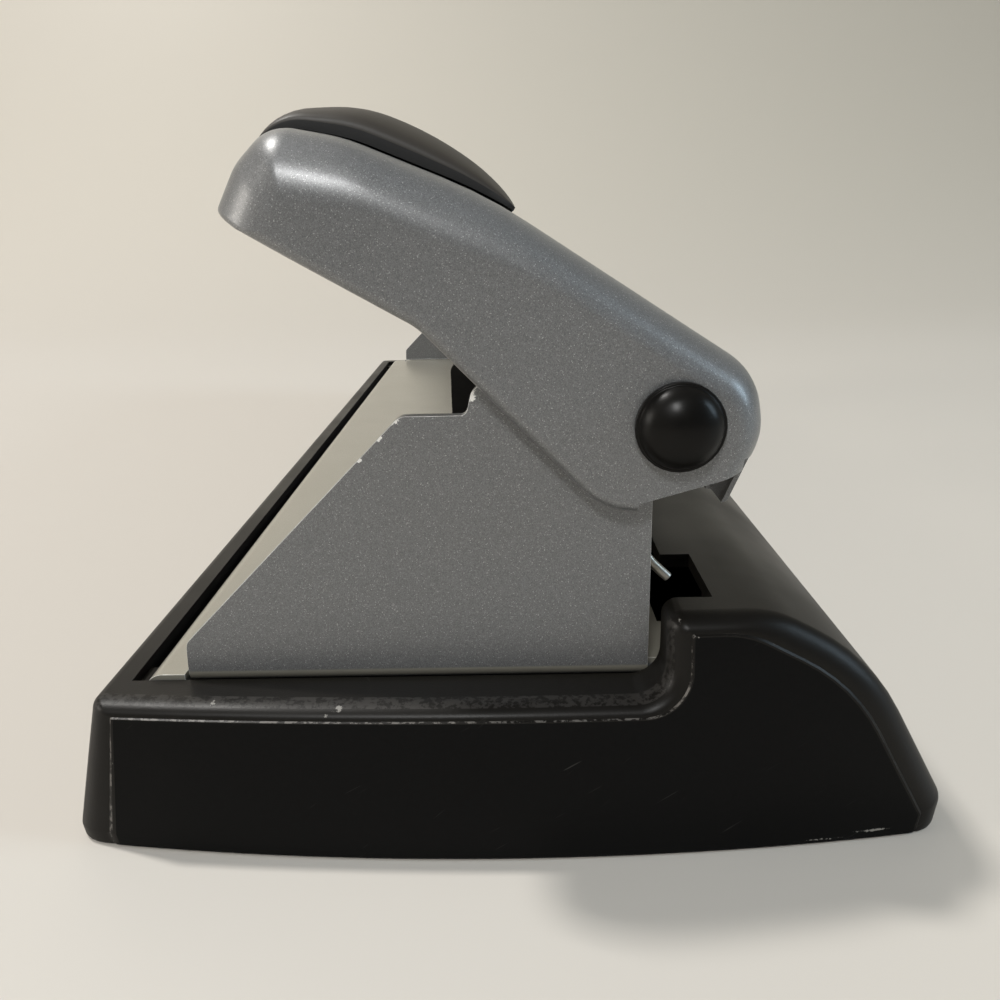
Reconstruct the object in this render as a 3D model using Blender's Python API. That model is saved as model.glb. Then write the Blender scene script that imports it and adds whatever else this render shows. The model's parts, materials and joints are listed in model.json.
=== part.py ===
"""Three-hole desk punch, at its real size in metres.

+Z is up, +Y runs along the punch and the handle's grip is on the -X side. The origin is on the table, under
the middle of the tray. The tray stands still; the steel frame tips up out of it about an axis along X at the
+Y end; the handle turns on the pivot rod and drives the three pins down.
"""

import math

import bmesh
import bpy
from mathutils import Matrix, Vector
from mathutils.geometry import delaunay_2d_cdt

# Whole object
CLEARANCE = 0.0003
OVERRUN = 0.004
BIG = 0.05
HEAD_COUNT = 3
PAPER_LENGTH = 0.2794
HOLE_END_MARGIN = 0.0317
HOLE_SPACING = (PAPER_LENGTH - 2 * HOLE_END_MARGIN) / (HEAD_COUNT - 1)
PAPER_SIDE_GAP = 0.0007
SHEET = 0.0016
BED_HALF_LENGTH = PAPER_LENGTH / 2 + PAPER_SIDE_GAP + SHEET

# Base tray
TRAY_HALF_WIDTH = 0.0563
LEDGE_WIDTH = 0.0090
TRAY_HALF_LENGTH = BED_HALF_LENGTH + LEDGE_WIDTH
TRAY_FOOT_FLARE = 0.0030
TRAY_FOOT_BULGE = 0.0027
TRAY_LEDGE_BULGE = 0.00165
TRAY_BULGE_SPAN = 0.043
TRAY_FRONT_BULGE = 0.0006
TRAY_WALL = 0.002
LEDGE_HEIGHT = 0.0198
HUMP_RISE = 0.0107
HUMP_HEIGHT = LEDGE_HEIGHT + HUMP_RISE
HUMP_FACE_X = 0.0204
TRAY_EDGE_RADIUS = 0.0030
# How much of the end rounding each edge of the tray's section takes, from the foot round to the front wall.
TRAY_END_SHARES = (0.0, 1.0, 1.1, 1.0, 0.6, 0.8, 0.5, 1.0, 1.0)
PANEL_PROUD = 0.0006
PANEL_INSET = 0.0006
SHELF_DEPTH = 0.006
POCKET_DEPTH = 0.0155
POCKET_WIDTH = 0.0065
NOTCH_DEPTH = 0.0340
RIM_SHARE = 0.930
RIM_INNER_X = TRAY_WALL - TRAY_HALF_WIDTH * RIM_SHARE

# Bed plate and its end brackets
BED_STEP = 0.0006
BED_TOP = LEDGE_HEIGHT + BED_STEP
BED_RIM_GAP = 0.00246
BED_FRONT_X = RIM_INNER_X + BED_RIM_GAP
BED_REAR_GAP = 0.0008
BED_REAR_X = HUMP_FACE_X - BED_REAR_GAP
BED_FLANGE_DROP = 0.0105
BED_TAB_X = HUMP_FACE_X + POCKET_WIDTH - CLEARANCE * 2
BRACKET_FRONT_SETBACK = 0.0060
BRACKET_FRONT_X = BED_FRONT_X + BRACKET_FRONT_SETBACK
BRACKET_REAR_SETBACK = 0.0007
BRACKET_REAR_X = BED_REAR_X - BRACKET_REAR_SETBACK
BRACKET_HEIGHT = 0.0343
BRACKET_TOP = BED_TOP + BRACKET_HEIGHT
BRACKET_LOBE_RADIUS = 0.0056
BEND_RADIUS = 0.0022

# Pivot
PIVOT_SETBACK = 0.0009
PIVOT_X = HUMP_FACE_X + PIVOT_SETBACK
PIVOT_RISE = 0.0333
PIVOT_Z = BED_TOP + PIVOT_RISE
ROD_RADIUS = 0.0030
CAP_RADIUS = 0.0054
CAP_RIM = 0.0009
CAP_DOME = 0.0030

# Handle
SPACER_WIDTH = 0.0013
HANDLE_WALL = 0.0016
HANDLE_HALF_LENGTH = BED_HALF_LENGTH + SPACER_WIDTH + HANDLE_WALL + 2 * CLEARANCE
HANDLE_END_RADIUS = 0.0080
HANDLE_REACH = 0.0543
# How far each face is drawn in at the ends, from the rear flange over the top to the nose.
HANDLE_END_SHARES = (0.45, 0.45, 0.5, 0.8, 1.0, 0.95, 0.9)
PAD_END_INSET = 0.0125
PAD_FRONT_SHARE = 0.915
PAD_FRONT_X = PIVOT_X - HANDLE_REACH * PAD_FRONT_SHARE
PAD_REAR_SHARE = 0.355
PAD_REAR_X = PIVOT_X - HANDLE_REACH * PAD_REAR_SHARE
PAD_THICKNESS = 0.0042
PAD_EDGE = 0.0012

# Punch heads
PIN_X = 0.0010
PIN_RADIUS = 0.00355
PIN_CLEARANCE = 0.00030
PIN_REACH = 0.0386
PIN_TOP = BED_TOP + PIN_REACH
PIN_GROOVE_DEPTH = 0.0007
PIN_HOLLOW = 0.0016
PAPER_GAP = 0.0032
PAPER_STOP = 0.0120
HEAD_HALF_WIDTH = 0.0090
HEAD_FRONT_REACH = 0.0083
HEAD_FRONT_X = PIN_X - HEAD_FRONT_REACH
HEAD_REAR_SETBACK = 0.0024
HEAD_REAR_X = BED_REAR_X - HEAD_REAR_SETBACK
HEAD_HEIGHT = 0.0371
HEAD_TOP = BED_TOP + HEAD_HEIGHT
HEAD_GUIDE_HEIGHT = 0.0136
HEAD_GUIDE_TOP = BED_TOP + HEAD_GUIDE_HEIGHT
HEAD_WELL_RADIUS = 0.0064
HEAD_FOOT_SETBACK = 0.0010
HEAD_FOOT_REAR_X = BED_REAR_X - HEAD_FOOT_SETBACK
HEAD_FOOT_HALF_WIDTH = 0.0150
HEAD_FOOT_HEIGHT = 0.0060
CLIP_DROP = 0.0037
CLIP_Z = PIN_TOP - CLIP_DROP
CLIP_RADIUS = 0.0056
CLIP_THICKNESS = 0.0008
DIE_RADIUS = 0.0060
DIE_THICKNESS = 0.0030
SCREW_RADIUS = 0.0015
SCREW_HEAD_RADIUS = 0.0028
SCREW_HEAD_HEIGHT = 0.0018
SCREW_LENGTH = 0.0095
SCREW_SPACING = 0.0200

# Springs
PIN_SPRING_RADIUS = 0.0046
PIN_SPRING_WIRE = 0.0010
PIN_SPRING_TURNS = 7
HANDLE_SPRING_WIRE = 0.0013
HANDLE_SPRING_TURNS = 4
HANDLE_SPRING_LEG = 0.0170
SPRING_TOE_DROP = 0.0215

# Presser
LUG_THICKNESS = 0.0030
LUG_HALF_WIDTH = 0.0040
PRESSER_END_INSET = 0.0205
PRESSER_WIDTH = 0.0120

MATERIALS = {
    "black_plastic": ((0.020, 0.019, 0.018), 0.42, 0.0),
    "silver_paint": ((0.20, 0.20, 0.19), 0.38, 0.65),
    "black_rubber": ((0.018, 0.017, 0.016), 0.60, 0.0),
    "black_head": ((0.022, 0.021, 0.019), 0.45, 0.0),
    "bright_steel": ((0.60, 0.60, 0.58), 0.25, 1.0),
    "grey_nylon": ((0.08, 0.08, 0.08), 0.50, 0.0),
}


def clear_scene():
    for item in list(bpy.data.objects):
        bpy.data.objects.remove(item, do_unlink=True)


def make_collection(name):
    group = bpy.data.collections.new(name)
    bpy.context.scene.collection.children.link(group)
    return group


def make_materials():
    made = {}
    for name, (colour, roughness, metallic) in MATERIALS.items():
        material = bpy.data.materials.new(name)
        material.use_nodes = True
        shader = material.node_tree.nodes["Principled BSDF"]
        shader.inputs["Base Color"].default_value = (*colour, 1.0)
        shader.inputs["Roughness"].default_value = roughness
        shader.inputs["Metallic"].default_value = metallic
        material.diffuse_color = (*colour, 1.0)
        made[name] = material
    return made


clear_scene()
PUNCH = make_collection("three_hole_punch")
MATERIAL = make_materials()


# Outlines: lists of corners (x, z, radius), turned into points with round corners

def direction(start, end):
    return (Vector(end) - Vector(start)).normalized()


def corner_arcs(corners, arc_step):
    """For each corner (x, z, radius) of a closed outline, the points of its arc."""
    arcs = []
    for index, (x, z, radius) in enumerate(corners):
        here = Vector((x, z))
        before = direction(here, corners[index - 1][:2])
        after = direction(here, corners[(index + 1) % len(corners)][:2])
        half_angle = before.angle(after) / 2
        if radius <= 0 or half_angle > math.radians(89):
            arcs.append([here])
            continue
        centre = here + (before + after).normalized() * (radius / math.sin(half_angle))
        run = radius / math.tan(half_angle)
        start, end = here + before * run - centre, here + after * run - centre
        turn = math.copysign(math.pi - 2 * half_angle, start.x * end.y - start.y * end.x)
        steps = max(1, math.ceil(abs(turn) / arc_step))
        arcs.append([centre + Matrix.Rotation(turn * step / steps, 2) @ start for step in range(steps + 1)])
    return arcs


def rounded(corners, arc_step=math.radians(14)):
    """Points of a closed outline whose corners (x, z, radius) are rounded by arcs."""
    return [point for arc in corner_arcs(corners, arc_step) for point in arc]


def moved_in(corners, distances):
    """The same corners with each edge moved inwards by its own distance. Corners run anticlockwise."""
    count = len(corners)
    lines = []
    for index, (x, z, _) in enumerate(corners):
        along = direction((x, z), corners[(index + 1) % count][:2])
        lines.append((Vector((x, z)) + Vector((-along.y, along.x)) * distances[index], along))
    moved = []
    for index, (_, _, radius) in enumerate(corners):
        (first, along), (second, onward) = lines[index - 1], lines[index]
        turn = along.x * onward.y - along.y * onward.x
        gap = second - first
        reach = (gap.x * onward.y - gap.y * onward.x) / turn
        shift = min(distances[index - 1], distances[index])
        rounding = radius - shift if turn > 0 else radius + shift
        moved.append((*(first + along * reach), max(rounding, radius * 0.15)))
    return moved


def side_counts(points, longest):
    """How many pieces each side of the outline is divided into, so that none is longer than this."""
    sides = zip(points, points[1:] + points[:1])
    return [max(1, math.ceil((after - point).length / longest)) for point, after in sides]


def divided(points, counts):
    """The outline with each side divided into its count of pieces."""
    result = []
    for index, (point, pieces) in enumerate(zip(points, counts)):
        after = points[(index + 1) % len(points)]
        result += [point.lerp(after, piece / pieces) for piece in range(pieces)]
    return result


# Solids

def add_object(name, mesh, material, collection=PUNCH):
    made = bpy.data.objects.new(name, mesh)
    collection.objects.link(made)
    mesh.materials.clear()
    mesh.materials.append(MATERIAL[material])
    return made


def finish_mesh(form, name, material, smooth=35):
    bmesh.ops.remove_doubles(form, verts=form.verts, dist=1e-6)
    bmesh.ops.recalc_face_normals(form, faces=form.faces)
    mesh = bpy.data.meshes.new(name)
    form.to_mesh(mesh)
    form.free()
    mesh.shade_smooth()
    mesh.set_sharp_from_angle(angle=math.radians(smooth))
    return add_object(name, mesh, material)


def loft(name, rings, material):
    """A closed solid through rings of equally many points, capped by triangles that follow the end rings."""
    form = bmesh.new()
    rows = [[form.verts.new(point) for point in ring] for ring in rings]
    for row, following in zip(rows, rows[1:]):
        for index in range(len(row)):
            after = (index + 1) % len(row)
            form.faces.new((row[index], row[after], following[after], following[index]))
    for row in (rows[0], rows[-1]):
        flat = [Vector((vertex.co.x, vertex.co.z)) for vertex in row]
        edges = [(index, (index + 1) % len(flat)) for index in range(len(flat))]
        triangles = delaunay_2d_cdt(flat, edges, [], 1, 1e-7)[2]
        for triangle in triangles:
            form.faces.new([row[index] for index in triangle])
    return finish_mesh(form, name, material)


def slab(name, points, y_low, y_high, material="bright_steel"):
    """An outline in X and Z, given its thickness along Y."""
    return loft(name, [[Vector((p.x, y, p.y)) for p in points] for y in (y_low, y_high)], material)


def box(name, low, high, material="bright_steel"):
    form = bmesh.new()
    bmesh.ops.create_cube(form, size=1)
    low, high = Vector(low), Vector(high)
    for vertex in form.verts:
        vertex.co = (low + high) / 2 + vertex.co * (high - low)
    return finish_mesh(form, name, material)


def turned(name, profile, centre, axis, material="bright_steel", sides=28):
    """A solid of revolution. The profile is a closed loop of (radius, height) along axis from centre."""
    form = bmesh.new()
    to_axis = Vector((0, 0, 1)).rotation_difference(Vector(axis)).to_matrix()
    rows = []
    for side in range(sides):
        around = Matrix.Rotation(math.tau * side / sides, 3, "Z")
        rows.append([
            form.verts.new(Vector(centre) + to_axis @ around @ Vector((radius, 0, height)))
            for radius, height in profile
        ])
    for side, row in enumerate(rows):
        following = rows[(side + 1) % sides]
        for index in range(len(row)):
            after = (index + 1) % len(row)
            ends = (row[index], row[after], following[after], following[index])
            if (ends[0].co - ends[3].co).length + (ends[1].co - ends[2].co).length > 1e-9:
                form.faces.new(ends)
    bmesh.ops.remove_doubles(form, verts=form.verts, dist=1e-7)
    bmesh.ops.dissolve_degenerate(form, edges=form.edges, dist=1e-7)
    return finish_mesh(form, name, material)


def rod(name, radius, low, high, centre, axis, material="bright_steel", sides=28):
    return turned(name, [(0, low), (radius, low), (radius, high), (0, high)], centre, axis, material, sides)


def ring(name, inner, outer, low, high, centre, axis, material="bright_steel", sides=28):
    profile = [(inner, low), (outer, low), (outer, high), (inner, high)]
    return turned(name, profile, centre, axis, material, sides)


def combine(target, tool, operation):
    """Cuts, joins or meets the target with the tool, and removes the tool."""
    modifier = target.modifiers.new(tool.name, "BOOLEAN")
    modifier.operation = operation
    modifier.object = tool
    modifier.use_self = False
    graph = bpy.context.evaluated_depsgraph_get()
    mesh = bpy.data.meshes.new_from_object(target.evaluated_get(graph))
    target.modifiers.clear()
    target.data = mesh
    bpy.data.objects.remove(tool, do_unlink=True)


def cut(target, *tools):
    for tool in tools:
        combine(target, tool, "DIFFERENCE")


def join(target, *tools):
    for tool in tools:
        combine(target, tool, "UNION")


def smooth(target, angle=35):
    target.data.shade_smooth()
    target.data.set_sharp_from_angle(angle=math.radians(angle))


def tube(name, points, wire, material="bright_steel"):
    """A wire along the points, as a mesh with closed ends."""
    curve = bpy.data.curves.new(name, "CURVE")
    curve.dimensions = "3D"
    curve.bevel_depth = wire / 2
    curve.bevel_resolution = 1
    curve.use_fill_caps = True
    spline = curve.splines.new("POLY")
    spline.points.add(len(points) - 1)
    for place, point in zip(spline.points, points):
        place.co = (*point, 1)
    guide = bpy.data.objects.new(name + "_guide", curve)
    PUNCH.objects.link(guide)
    mesh = bpy.data.meshes.new_from_object(guide.evaluated_get(bpy.context.evaluated_depsgraph_get()))
    bpy.data.objects.remove(guide, do_unlink=True)
    form = bmesh.new()
    form.from_mesh(mesh)
    return finish_mesh(form, name, material, 60)


def head_places():
    """The Y place of each punch head, from the near end."""
    middle = (HEAD_COUNT - 1) / 2
    return [(number + 1, (number - middle) * HOLE_SPACING) for number in range(HEAD_COUNT)]


# Base tray

def tray_corners():
    """Section of the tray, anticlockwise from the front foot: front wall, ledge, hump and rounded back."""
    half = TRAY_HALF_WIDTH
    hump = half - HUMP_FACE_X
    face = HUMP_FACE_X
    return [
        (half * -0.992 - TRAY_FRONT_BULGE, 0.0, hump * 0.02),
        (face + hump * 1.000, 0.0, hump * 0.03),
        (face + hump * 1.024, LEDGE_HEIGHT * 0.20, hump * 0.06),
        (face + hump * 0.728, HUMP_HEIGHT * 0.776, hump * 0.78),
        (face + hump * 0.369, HUMP_HEIGHT, hump * 0.38),
        (face, HUMP_HEIGHT, hump * 0.056),
        (face, LEDGE_HEIGHT, hump * 0.114),
        (half * -RIM_SHARE - TRAY_FRONT_BULGE, LEDGE_HEIGHT, hump * 0.044),
        (-half - TRAY_FRONT_BULGE, LEDGE_HEIGHT * 0.09, hump * 0.045),
    ]


def tray_ring(inset, back):
    """One ring of the tray's outside: its section moved in, on the bulged end face, this far back from it."""
    corners = tray_corners()
    counts = side_counts(rounded(corners), TRAY_HALF_WIDTH * 0.2)
    inward = moved_in(corners, [inset * share for share in TRAY_END_SHARES])
    places = []
    for point in divided(rounded(inward), counts):
        rise = point.y / LEDGE_HEIGHT
        bulge = TRAY_FOOT_BULGE + (TRAY_LEDGE_BULGE - TRAY_FOOT_BULGE) * rise
        end = TRAY_HALF_LENGTH + TRAY_FOOT_FLARE * (1 - rise) - bulge * (point.x / TRAY_BULGE_SPAN) ** 2
        places.append(Vector((point.x, end - back, point.y)))
    return places


def tray_outside():
    radius = TRAY_EDGE_RADIUS
    panel = radius + PANEL_INSET
    stations = [(panel, -PANEL_PROUD), (panel, 0.0), (radius, 0.0)]
    for degrees in (25, 50, 72, 90):
        swing = math.radians(degrees)
        stations.append((radius * (1 - math.sin(swing)), radius * (1 - math.cos(swing))))
    near = []
    for inset, back in stations:
        near.append([Vector((place.x, -place.y, place.z)) for place in tray_ring(inset, back)])
    far = [[Vector((place.x, -place.y, place.z)) for place in ring_] for ring_ in reversed(near)]
    return loft("base_tray", near + far, "black_plastic")


def tray_inside():
    """The chip space, with the hump hollow above it and open between the rims."""
    wall = TRAY_WALL
    hump = TRAY_HALF_WIDTH - HUMP_FACE_X - wall
    face = HUMP_FACE_X
    above = HUMP_HEIGHT + BIG
    front = wall - TRAY_HALF_WIDTH
    corners = [
        (front + wall * 0.3, wall, wall / 2),
        (face + hump * 0.975, wall, wall / 2),
        (face + hump * 1.003, LEDGE_HEIGHT * 0.23, wall),
        (face + hump * 0.719, HUMP_HEIGHT * 0.742, hump * 0.74),
        (face + hump * 0.362, HUMP_HEIGHT - wall, hump * 0.34),
        (face + wall, HUMP_HEIGHT - wall, 0.0),
        (face + wall, LEDGE_HEIGHT * 0.83, 0.0),
        (face + CLEARANCE / 2, LEDGE_HEIGHT * 0.83, 0.0),
        (face + CLEARANCE / 2, above, 0.0),
        (RIM_INNER_X, above, 0.0),
        (RIM_INNER_X, LEDGE_HEIGHT * 0.9, 0.0),
    ]
    length = BED_HALF_LENGTH - SHELF_DEPTH
    return slab("tray_inside", rounded(corners), -length, length)


def make_tray():
    tray = tray_outside()
    cut(tray, tray_inside())
    seat_end = BED_HALF_LENGTH + CLEARANCE
    shelf_end = BED_HALF_LENGTH - SHELF_DEPTH
    shelf_top = BED_TOP - SHEET - CLEARANCE
    above = HUMP_HEIGHT + BIG
    under_end = BED_HALF_LENGTH + SHELF_DEPTH * 0.6
    for side, end in ((-1, "near"), (1, "far")):
        across = sorted((side * (shelf_end - OVERRUN), side * seat_end))
        seat = (RIM_INNER_X, across[0], shelf_top)
        cut(tray, box("seat_" + end, seat, (HUMP_FACE_X + CLEARANCE / 2, across[1], above)))
        across = sorted((side * (BED_HALF_LENGTH - POCKET_DEPTH), side * seat_end))
        pocket = (HUMP_FACE_X - CLEARANCE, across[0], LEDGE_HEIGHT / 2)
        cut(tray, box("pocket_" + end, pocket, (HUMP_FACE_X + POCKET_WIDTH, across[1], above)))
        across = sorted((side * (BED_HALF_LENGTH - NOTCH_DEPTH), side * (BED_HALF_LENGTH - POCKET_DEPTH / 2)))
        notch = (HUMP_FACE_X - CLEARANCE, across[0], LEDGE_HEIGHT / 2)
        cut(tray, box("notch_" + end, notch, (HUMP_FACE_X + TRAY_WALL + CLEARANCE, across[1], above)))
        across = sorted((side * (shelf_end - OVERRUN), side * under_end))
        under = (RIM_INNER_X - CLEARANCE, across[0], TRAY_WALL)
        under_rear = HUMP_FACE_X + (TRAY_HALF_WIDTH - HUMP_FACE_X) * 0.69
        cut(tray, box("under_" + end, under, (under_rear, across[1], shelf_top - TRAY_WALL)))
    smooth(tray)
    return tray


# Bed plate with its brackets

def bracket_corners():
    """Outline of an end bracket, anticlockwise from its rear foot."""
    foot = BED_TOP
    front = BRACKET_FRONT_X
    lobe = BRACKET_LOBE_RADIUS
    top = PIVOT_Z + lobe
    step_x = front + (BRACKET_REAR_X - front) * 0.632
    return [
        (BRACKET_REAR_X, foot - BIG, 0.0),
        (BRACKET_REAR_X, PIVOT_Z - lobe, lobe * 0.12),
        (PIVOT_X + lobe, PIVOT_Z - lobe, lobe * 0.95),
        (PIVOT_X + lobe, top, lobe * 0.95),
        (step_x + lobe * 0.36, top, lobe * 0.2),
        (step_x + lobe * 0.01, PIVOT_Z + lobe * 0.66, lobe * 0.3),
        (step_x - lobe * 0.10, BRACKET_TOP, lobe * 0.16),
        (front + (BRACKET_TOP - foot) * 0.865, BRACKET_TOP, lobe * 0.35),
        (front + lobe * 0.02, foot + lobe * 0.80, lobe * 0.28),
        (front, foot + lobe * 0.3, 0.0),
        (front, foot - BIG, 0.0),
    ]


def make_bracket(side, end):
    """One bracket: a bent strip as wide as the plate, trimmed to the bracket's outline."""
    outer, low = side * BED_HALF_LENGTH, BED_TOP - SHEET
    inward = -side
    top = PIVOT_Z + BIG / 2
    radius = BEND_RADIUS
    inner_radius = radius - SHEET
    profile = []
    for step in range(5):
        angle = math.pi / 2 * step / 4
        profile.append((radius * (1 - math.sin(angle)), radius * (1 - math.cos(angle))))
    outside = [(0.0, top - low)] + sorted(profile, key=lambda place: -place[1])
    inside = [(SHEET + BIG / 10, SHEET), (SHEET + inner_radius, SHEET), (SHEET, SHEET + inner_radius)]
    loop = outside + [(SHEET + BIG / 10, 0.0)] + inside + [(SHEET, top - low)]
    form = bmesh.new()
    rows = []
    for x in (BRACKET_FRONT_X - OVERRUN, PIVOT_X + BRACKET_LOBE_RADIUS + OVERRUN):
        rows.append([form.verts.new((x, outer + inward * y, low + z)) for y, z in loop])
    for index in range(len(loop)):
        after = (index + 1) % len(loop)
        form.faces.new((rows[0][index], rows[0][after], rows[1][after], rows[1][index]))
    for row in rows:
        form.faces.new(row)
    bracket = finish_mesh(form, "bracket_" + end, "silver_paint")
    across = sorted((outer - side * BIG / 5, outer + side * OVERRUN))
    combine(bracket, slab("outline_" + end, rounded(bracket_corners()), *across), "INTERSECT")
    return bracket


def make_bed_plate():
    low = BED_TOP - SHEET
    front, rear = BED_FRONT_X, BED_REAR_X
    flange = BED_TOP - BED_FLANGE_DROP
    bend = BEND_RADIUS
    section = [
        (front, flange, 0.0),
        (front + SHEET, flange, 0.0),
        (front + SHEET, low, bend - SHEET),
        (rear, low, 0.0),
        (rear, BED_TOP, 0.0),
        (front, BED_TOP, bend),
    ]
    length = BED_HALF_LENGTH
    inner = length - POCKET_DEPTH + CLEARANCE * 3
    strip = length - NOTCH_DEPTH + CLEARANCE * 3
    plate = slab("bed_plate", rounded(section), -length, length, "silver_paint")
    tab_front = rear - OVERRUN
    for side, end in ((-1, "near"), (1, "far")):
        across = sorted((side * inner, side * length))
        join(plate, box("tab_" + end, (tab_front, across[0], low), (BED_TAB_X, across[1], BED_TOP)))
        across = sorted((side * strip, side * (inner + OVERRUN)))
        corner = (HUMP_FACE_X + TRAY_WALL, across[1], BED_TOP)
        join(plate, box("strip_" + end, (tab_front, across[0], low), corner))
        # The strip between the relief notches is where the bracket bends up.
        across = sorted((side * (length - BEND_RADIUS * 1.3), side * (length + OVERRUN)))
        bend_cut = (BRACKET_FRONT_X - CLEARANCE * 2, across[0], low - OVERRUN)
        cut(plate, box("relief_" + end, bend_cut, (BRACKET_REAR_X + SHEET, across[1], BED_TOP + OVERRUN)))
        across = sorted((side * (length + OVERRUN), side * (length - SHELF_DEPTH - CLEARANCE)))
        flange_cut = (front - OVERRUN, across[0], flange - OVERRUN)
        cut(plate, box("flange_end_" + end, flange_cut, (front + SHEET + OVERRUN, across[1], low - CLEARANCE)))
        join(plate, make_bracket(side, end))
    up = (0, 0, 1)
    for number, y in head_places():
        name = f"die_hole_{number}"
        cut(plate, rod(name, PIN_RADIUS + PIN_CLEARANCE, low - OVERRUN, BED_TOP + OVERRUN, (PIN_X, y, 0), up))
        for x, place in screw_places(y):
            hole = SCREW_RADIUS + CLEARANCE
            cut(plate, rod("screw_hole", hole, low - OVERRUN, BED_TOP + OVERRUN, (x, place, 0), up, sides=12))
    hole = ROD_RADIUS + CLEARANCE
    reach = length + OVERRUN
    cut(plate, rod("pivot_hole", hole, -reach, reach, (PIVOT_X, 0, PIVOT_Z), (0, 1, 0)))
    smooth(plate)
    return plate


def screw_places(y):
    x = (stop_x() + HEAD_FOOT_REAR_X) / 2
    return [(x, y - SCREW_SPACING / 2), (x, y + SCREW_SPACING / 2)]


def stop_x():
    return PIN_X + PAPER_STOP


# Punch heads

def make_head(number, y):
    """A cast tower: guide block over the paper slot, open well above it, and a foot behind that stops the paper."""
    throat = BED_TOP + PAPER_GAP
    foot = BED_TOP + CLEARANCE
    width = HEAD_HALF_WIDTH
    corners = [
        (HEAD_FRONT_X, throat, width * 0.12),
        (stop_x(), throat, 0.0),
        (stop_x(), foot + CLEARANCE / 2, 0.0),
        (HEAD_FOOT_REAR_X, foot + CLEARANCE / 2, 0.0),
        (HEAD_FOOT_REAR_X, HEAD_GUIDE_TOP, width * 0.6),
        (HEAD_REAR_X, PIVOT_Z - ROD_RADIUS * 1.6, width * 0.3),
        (HEAD_REAR_X * 0.74, HEAD_TOP, width * 0.25),
        (HEAD_FRONT_X, HEAD_TOP, width * 0.16),
    ]
    head = slab(f"punch_head_{number}", rounded(corners), y - width, y + width, "black_head")
    wings = (stop_x() + CLEARANCE / 2, y - HEAD_FOOT_HALF_WIDTH, foot)
    corner = (HEAD_FOOT_REAR_X - CLEARANCE / 2, y + HEAD_FOOT_HALF_WIDTH, foot + HEAD_FOOT_HEIGHT)
    join(head, box("foot", wings, corner))
    up = (0, 0, 1)
    bore = PIN_RADIUS + PIN_CLEARANCE
    well = HEAD_WELL_RADIUS
    cut(head, rod("well", well, HEAD_GUIDE_TOP, HEAD_TOP + OVERRUN, (PIN_X, y, 0), up))
    cut(head, rod("bore", bore, throat - OVERRUN, HEAD_GUIDE_TOP + OVERRUN, (PIN_X, y, 0), up))
    sill = HEAD_GUIDE_TOP + HEAD_WELL_RADIUS * 0.25
    window = [
        (PIN_X - well * 0.80, sill, well * 0.3),
        (PIN_X + well * 0.80, sill, well * 0.3),
        (PIN_X + well * 0.80, HEAD_TOP - well * 0.8, well * 0.3),
        (PIN_X - well * 0.80, HEAD_TOP - well * 0.8, well * 0.3),
    ]
    cut(head, slab("window", rounded(window, math.radians(31)), y - width - OVERRUN, y + width + OVERRUN))
    for x, place in screw_places(y):
        top = BED_TOP - SHEET + SCREW_LENGTH - SCREW_HEAD_HEIGHT + CLEARANCE * 2
        hole = SCREW_RADIUS + CLEARANCE
        cut(head, rod("tapping", hole, foot - OVERRUN, top, (x, place, 0), up, sides=12))
    smooth(head)
    return head


def make_screws(number, y):
    top = BED_TOP - SHEET - CLEARANCE
    low = top - SCREW_HEAD_HEIGHT
    for index, (x, place) in enumerate(screw_places(y)):
        profile = [
            (0, low),
            (SCREW_HEAD_RADIUS * 0.7, low),
            (SCREW_HEAD_RADIUS, low + SCREW_HEAD_HEIGHT * 0.5),
            (SCREW_HEAD_RADIUS, top),
            (SCREW_RADIUS, top),
            (SCREW_RADIUS, low + SCREW_LENGTH),
            (0, low + SCREW_LENGTH),
        ]
        label = 2 * (number - 1) + index + 1
        turned(f"head_screw_{label}", profile, (x, place, 0), (0, 0, 1), sides=12)


def make_pin(number, y):
    """Pin with a hollow-ground end: its cutting edge is lowest at the sides and is drawn in to a V between."""
    tip = pin_tip()
    groove = PIN_RADIUS - PIN_GROOVE_DEPTH
    low, high = CLIP_Z - CLEARANCE, CLIP_Z + CLIP_THICKNESS + CLEARANCE
    chamfer = PIN_RADIUS * 0.2
    profile = [
        (0, tip),
        (PIN_RADIUS, tip),
        (PIN_RADIUS, low),
        (groove, low),
        (groove, high),
        (PIN_RADIUS, high),
        (PIN_RADIUS, PIN_TOP - chamfer),
        (PIN_RADIUS - chamfer, PIN_TOP),
        (0, PIN_TOP),
    ]
    pin = turned(f"punch_pin_{number}", profile, (PIN_X, y, 0), (0, 0, 1), sides=24)
    hollow = [
        Vector((PIN_X - PIN_RADIUS - OVERRUN, tip - OVERRUN)),
        Vector((PIN_X + PIN_RADIUS + OVERRUN, tip - OVERRUN)),
        Vector((PIN_X + PIN_RADIUS * 0.92, tip)),
        Vector((PIN_X, tip + PIN_HOLLOW)),
        Vector((PIN_X - PIN_RADIUS * 0.92, tip)),
    ]
    reach = PIN_RADIUS + OVERRUN
    cut(pin, slab("hollow", hollow, y - reach, y + reach))
    smooth(pin)


def pin_tip():
    return BED_TOP + PAPER_GAP + CLEARANCE


def make_clip(number, y):
    """Open spring clip in the pin's groove."""
    inner = PIN_RADIUS - PIN_GROOVE_DEPTH + CLEARANCE
    low, high = CLIP_Z, CLIP_Z + CLIP_THICKNESS
    clip = ring(f"pin_clip_{number}", inner, CLIP_RADIUS, low, high, (PIN_X, y, 0), (0, 0, 1), sides=24)
    mouth = inner * 0.7
    reach = CLIP_RADIUS + OVERRUN
    cut(clip, box("mouth", (PIN_X - reach, y - mouth, low - OVERRUN), (PIN_X, y + mouth, high + OVERRUN)))
    smooth(clip)


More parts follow.
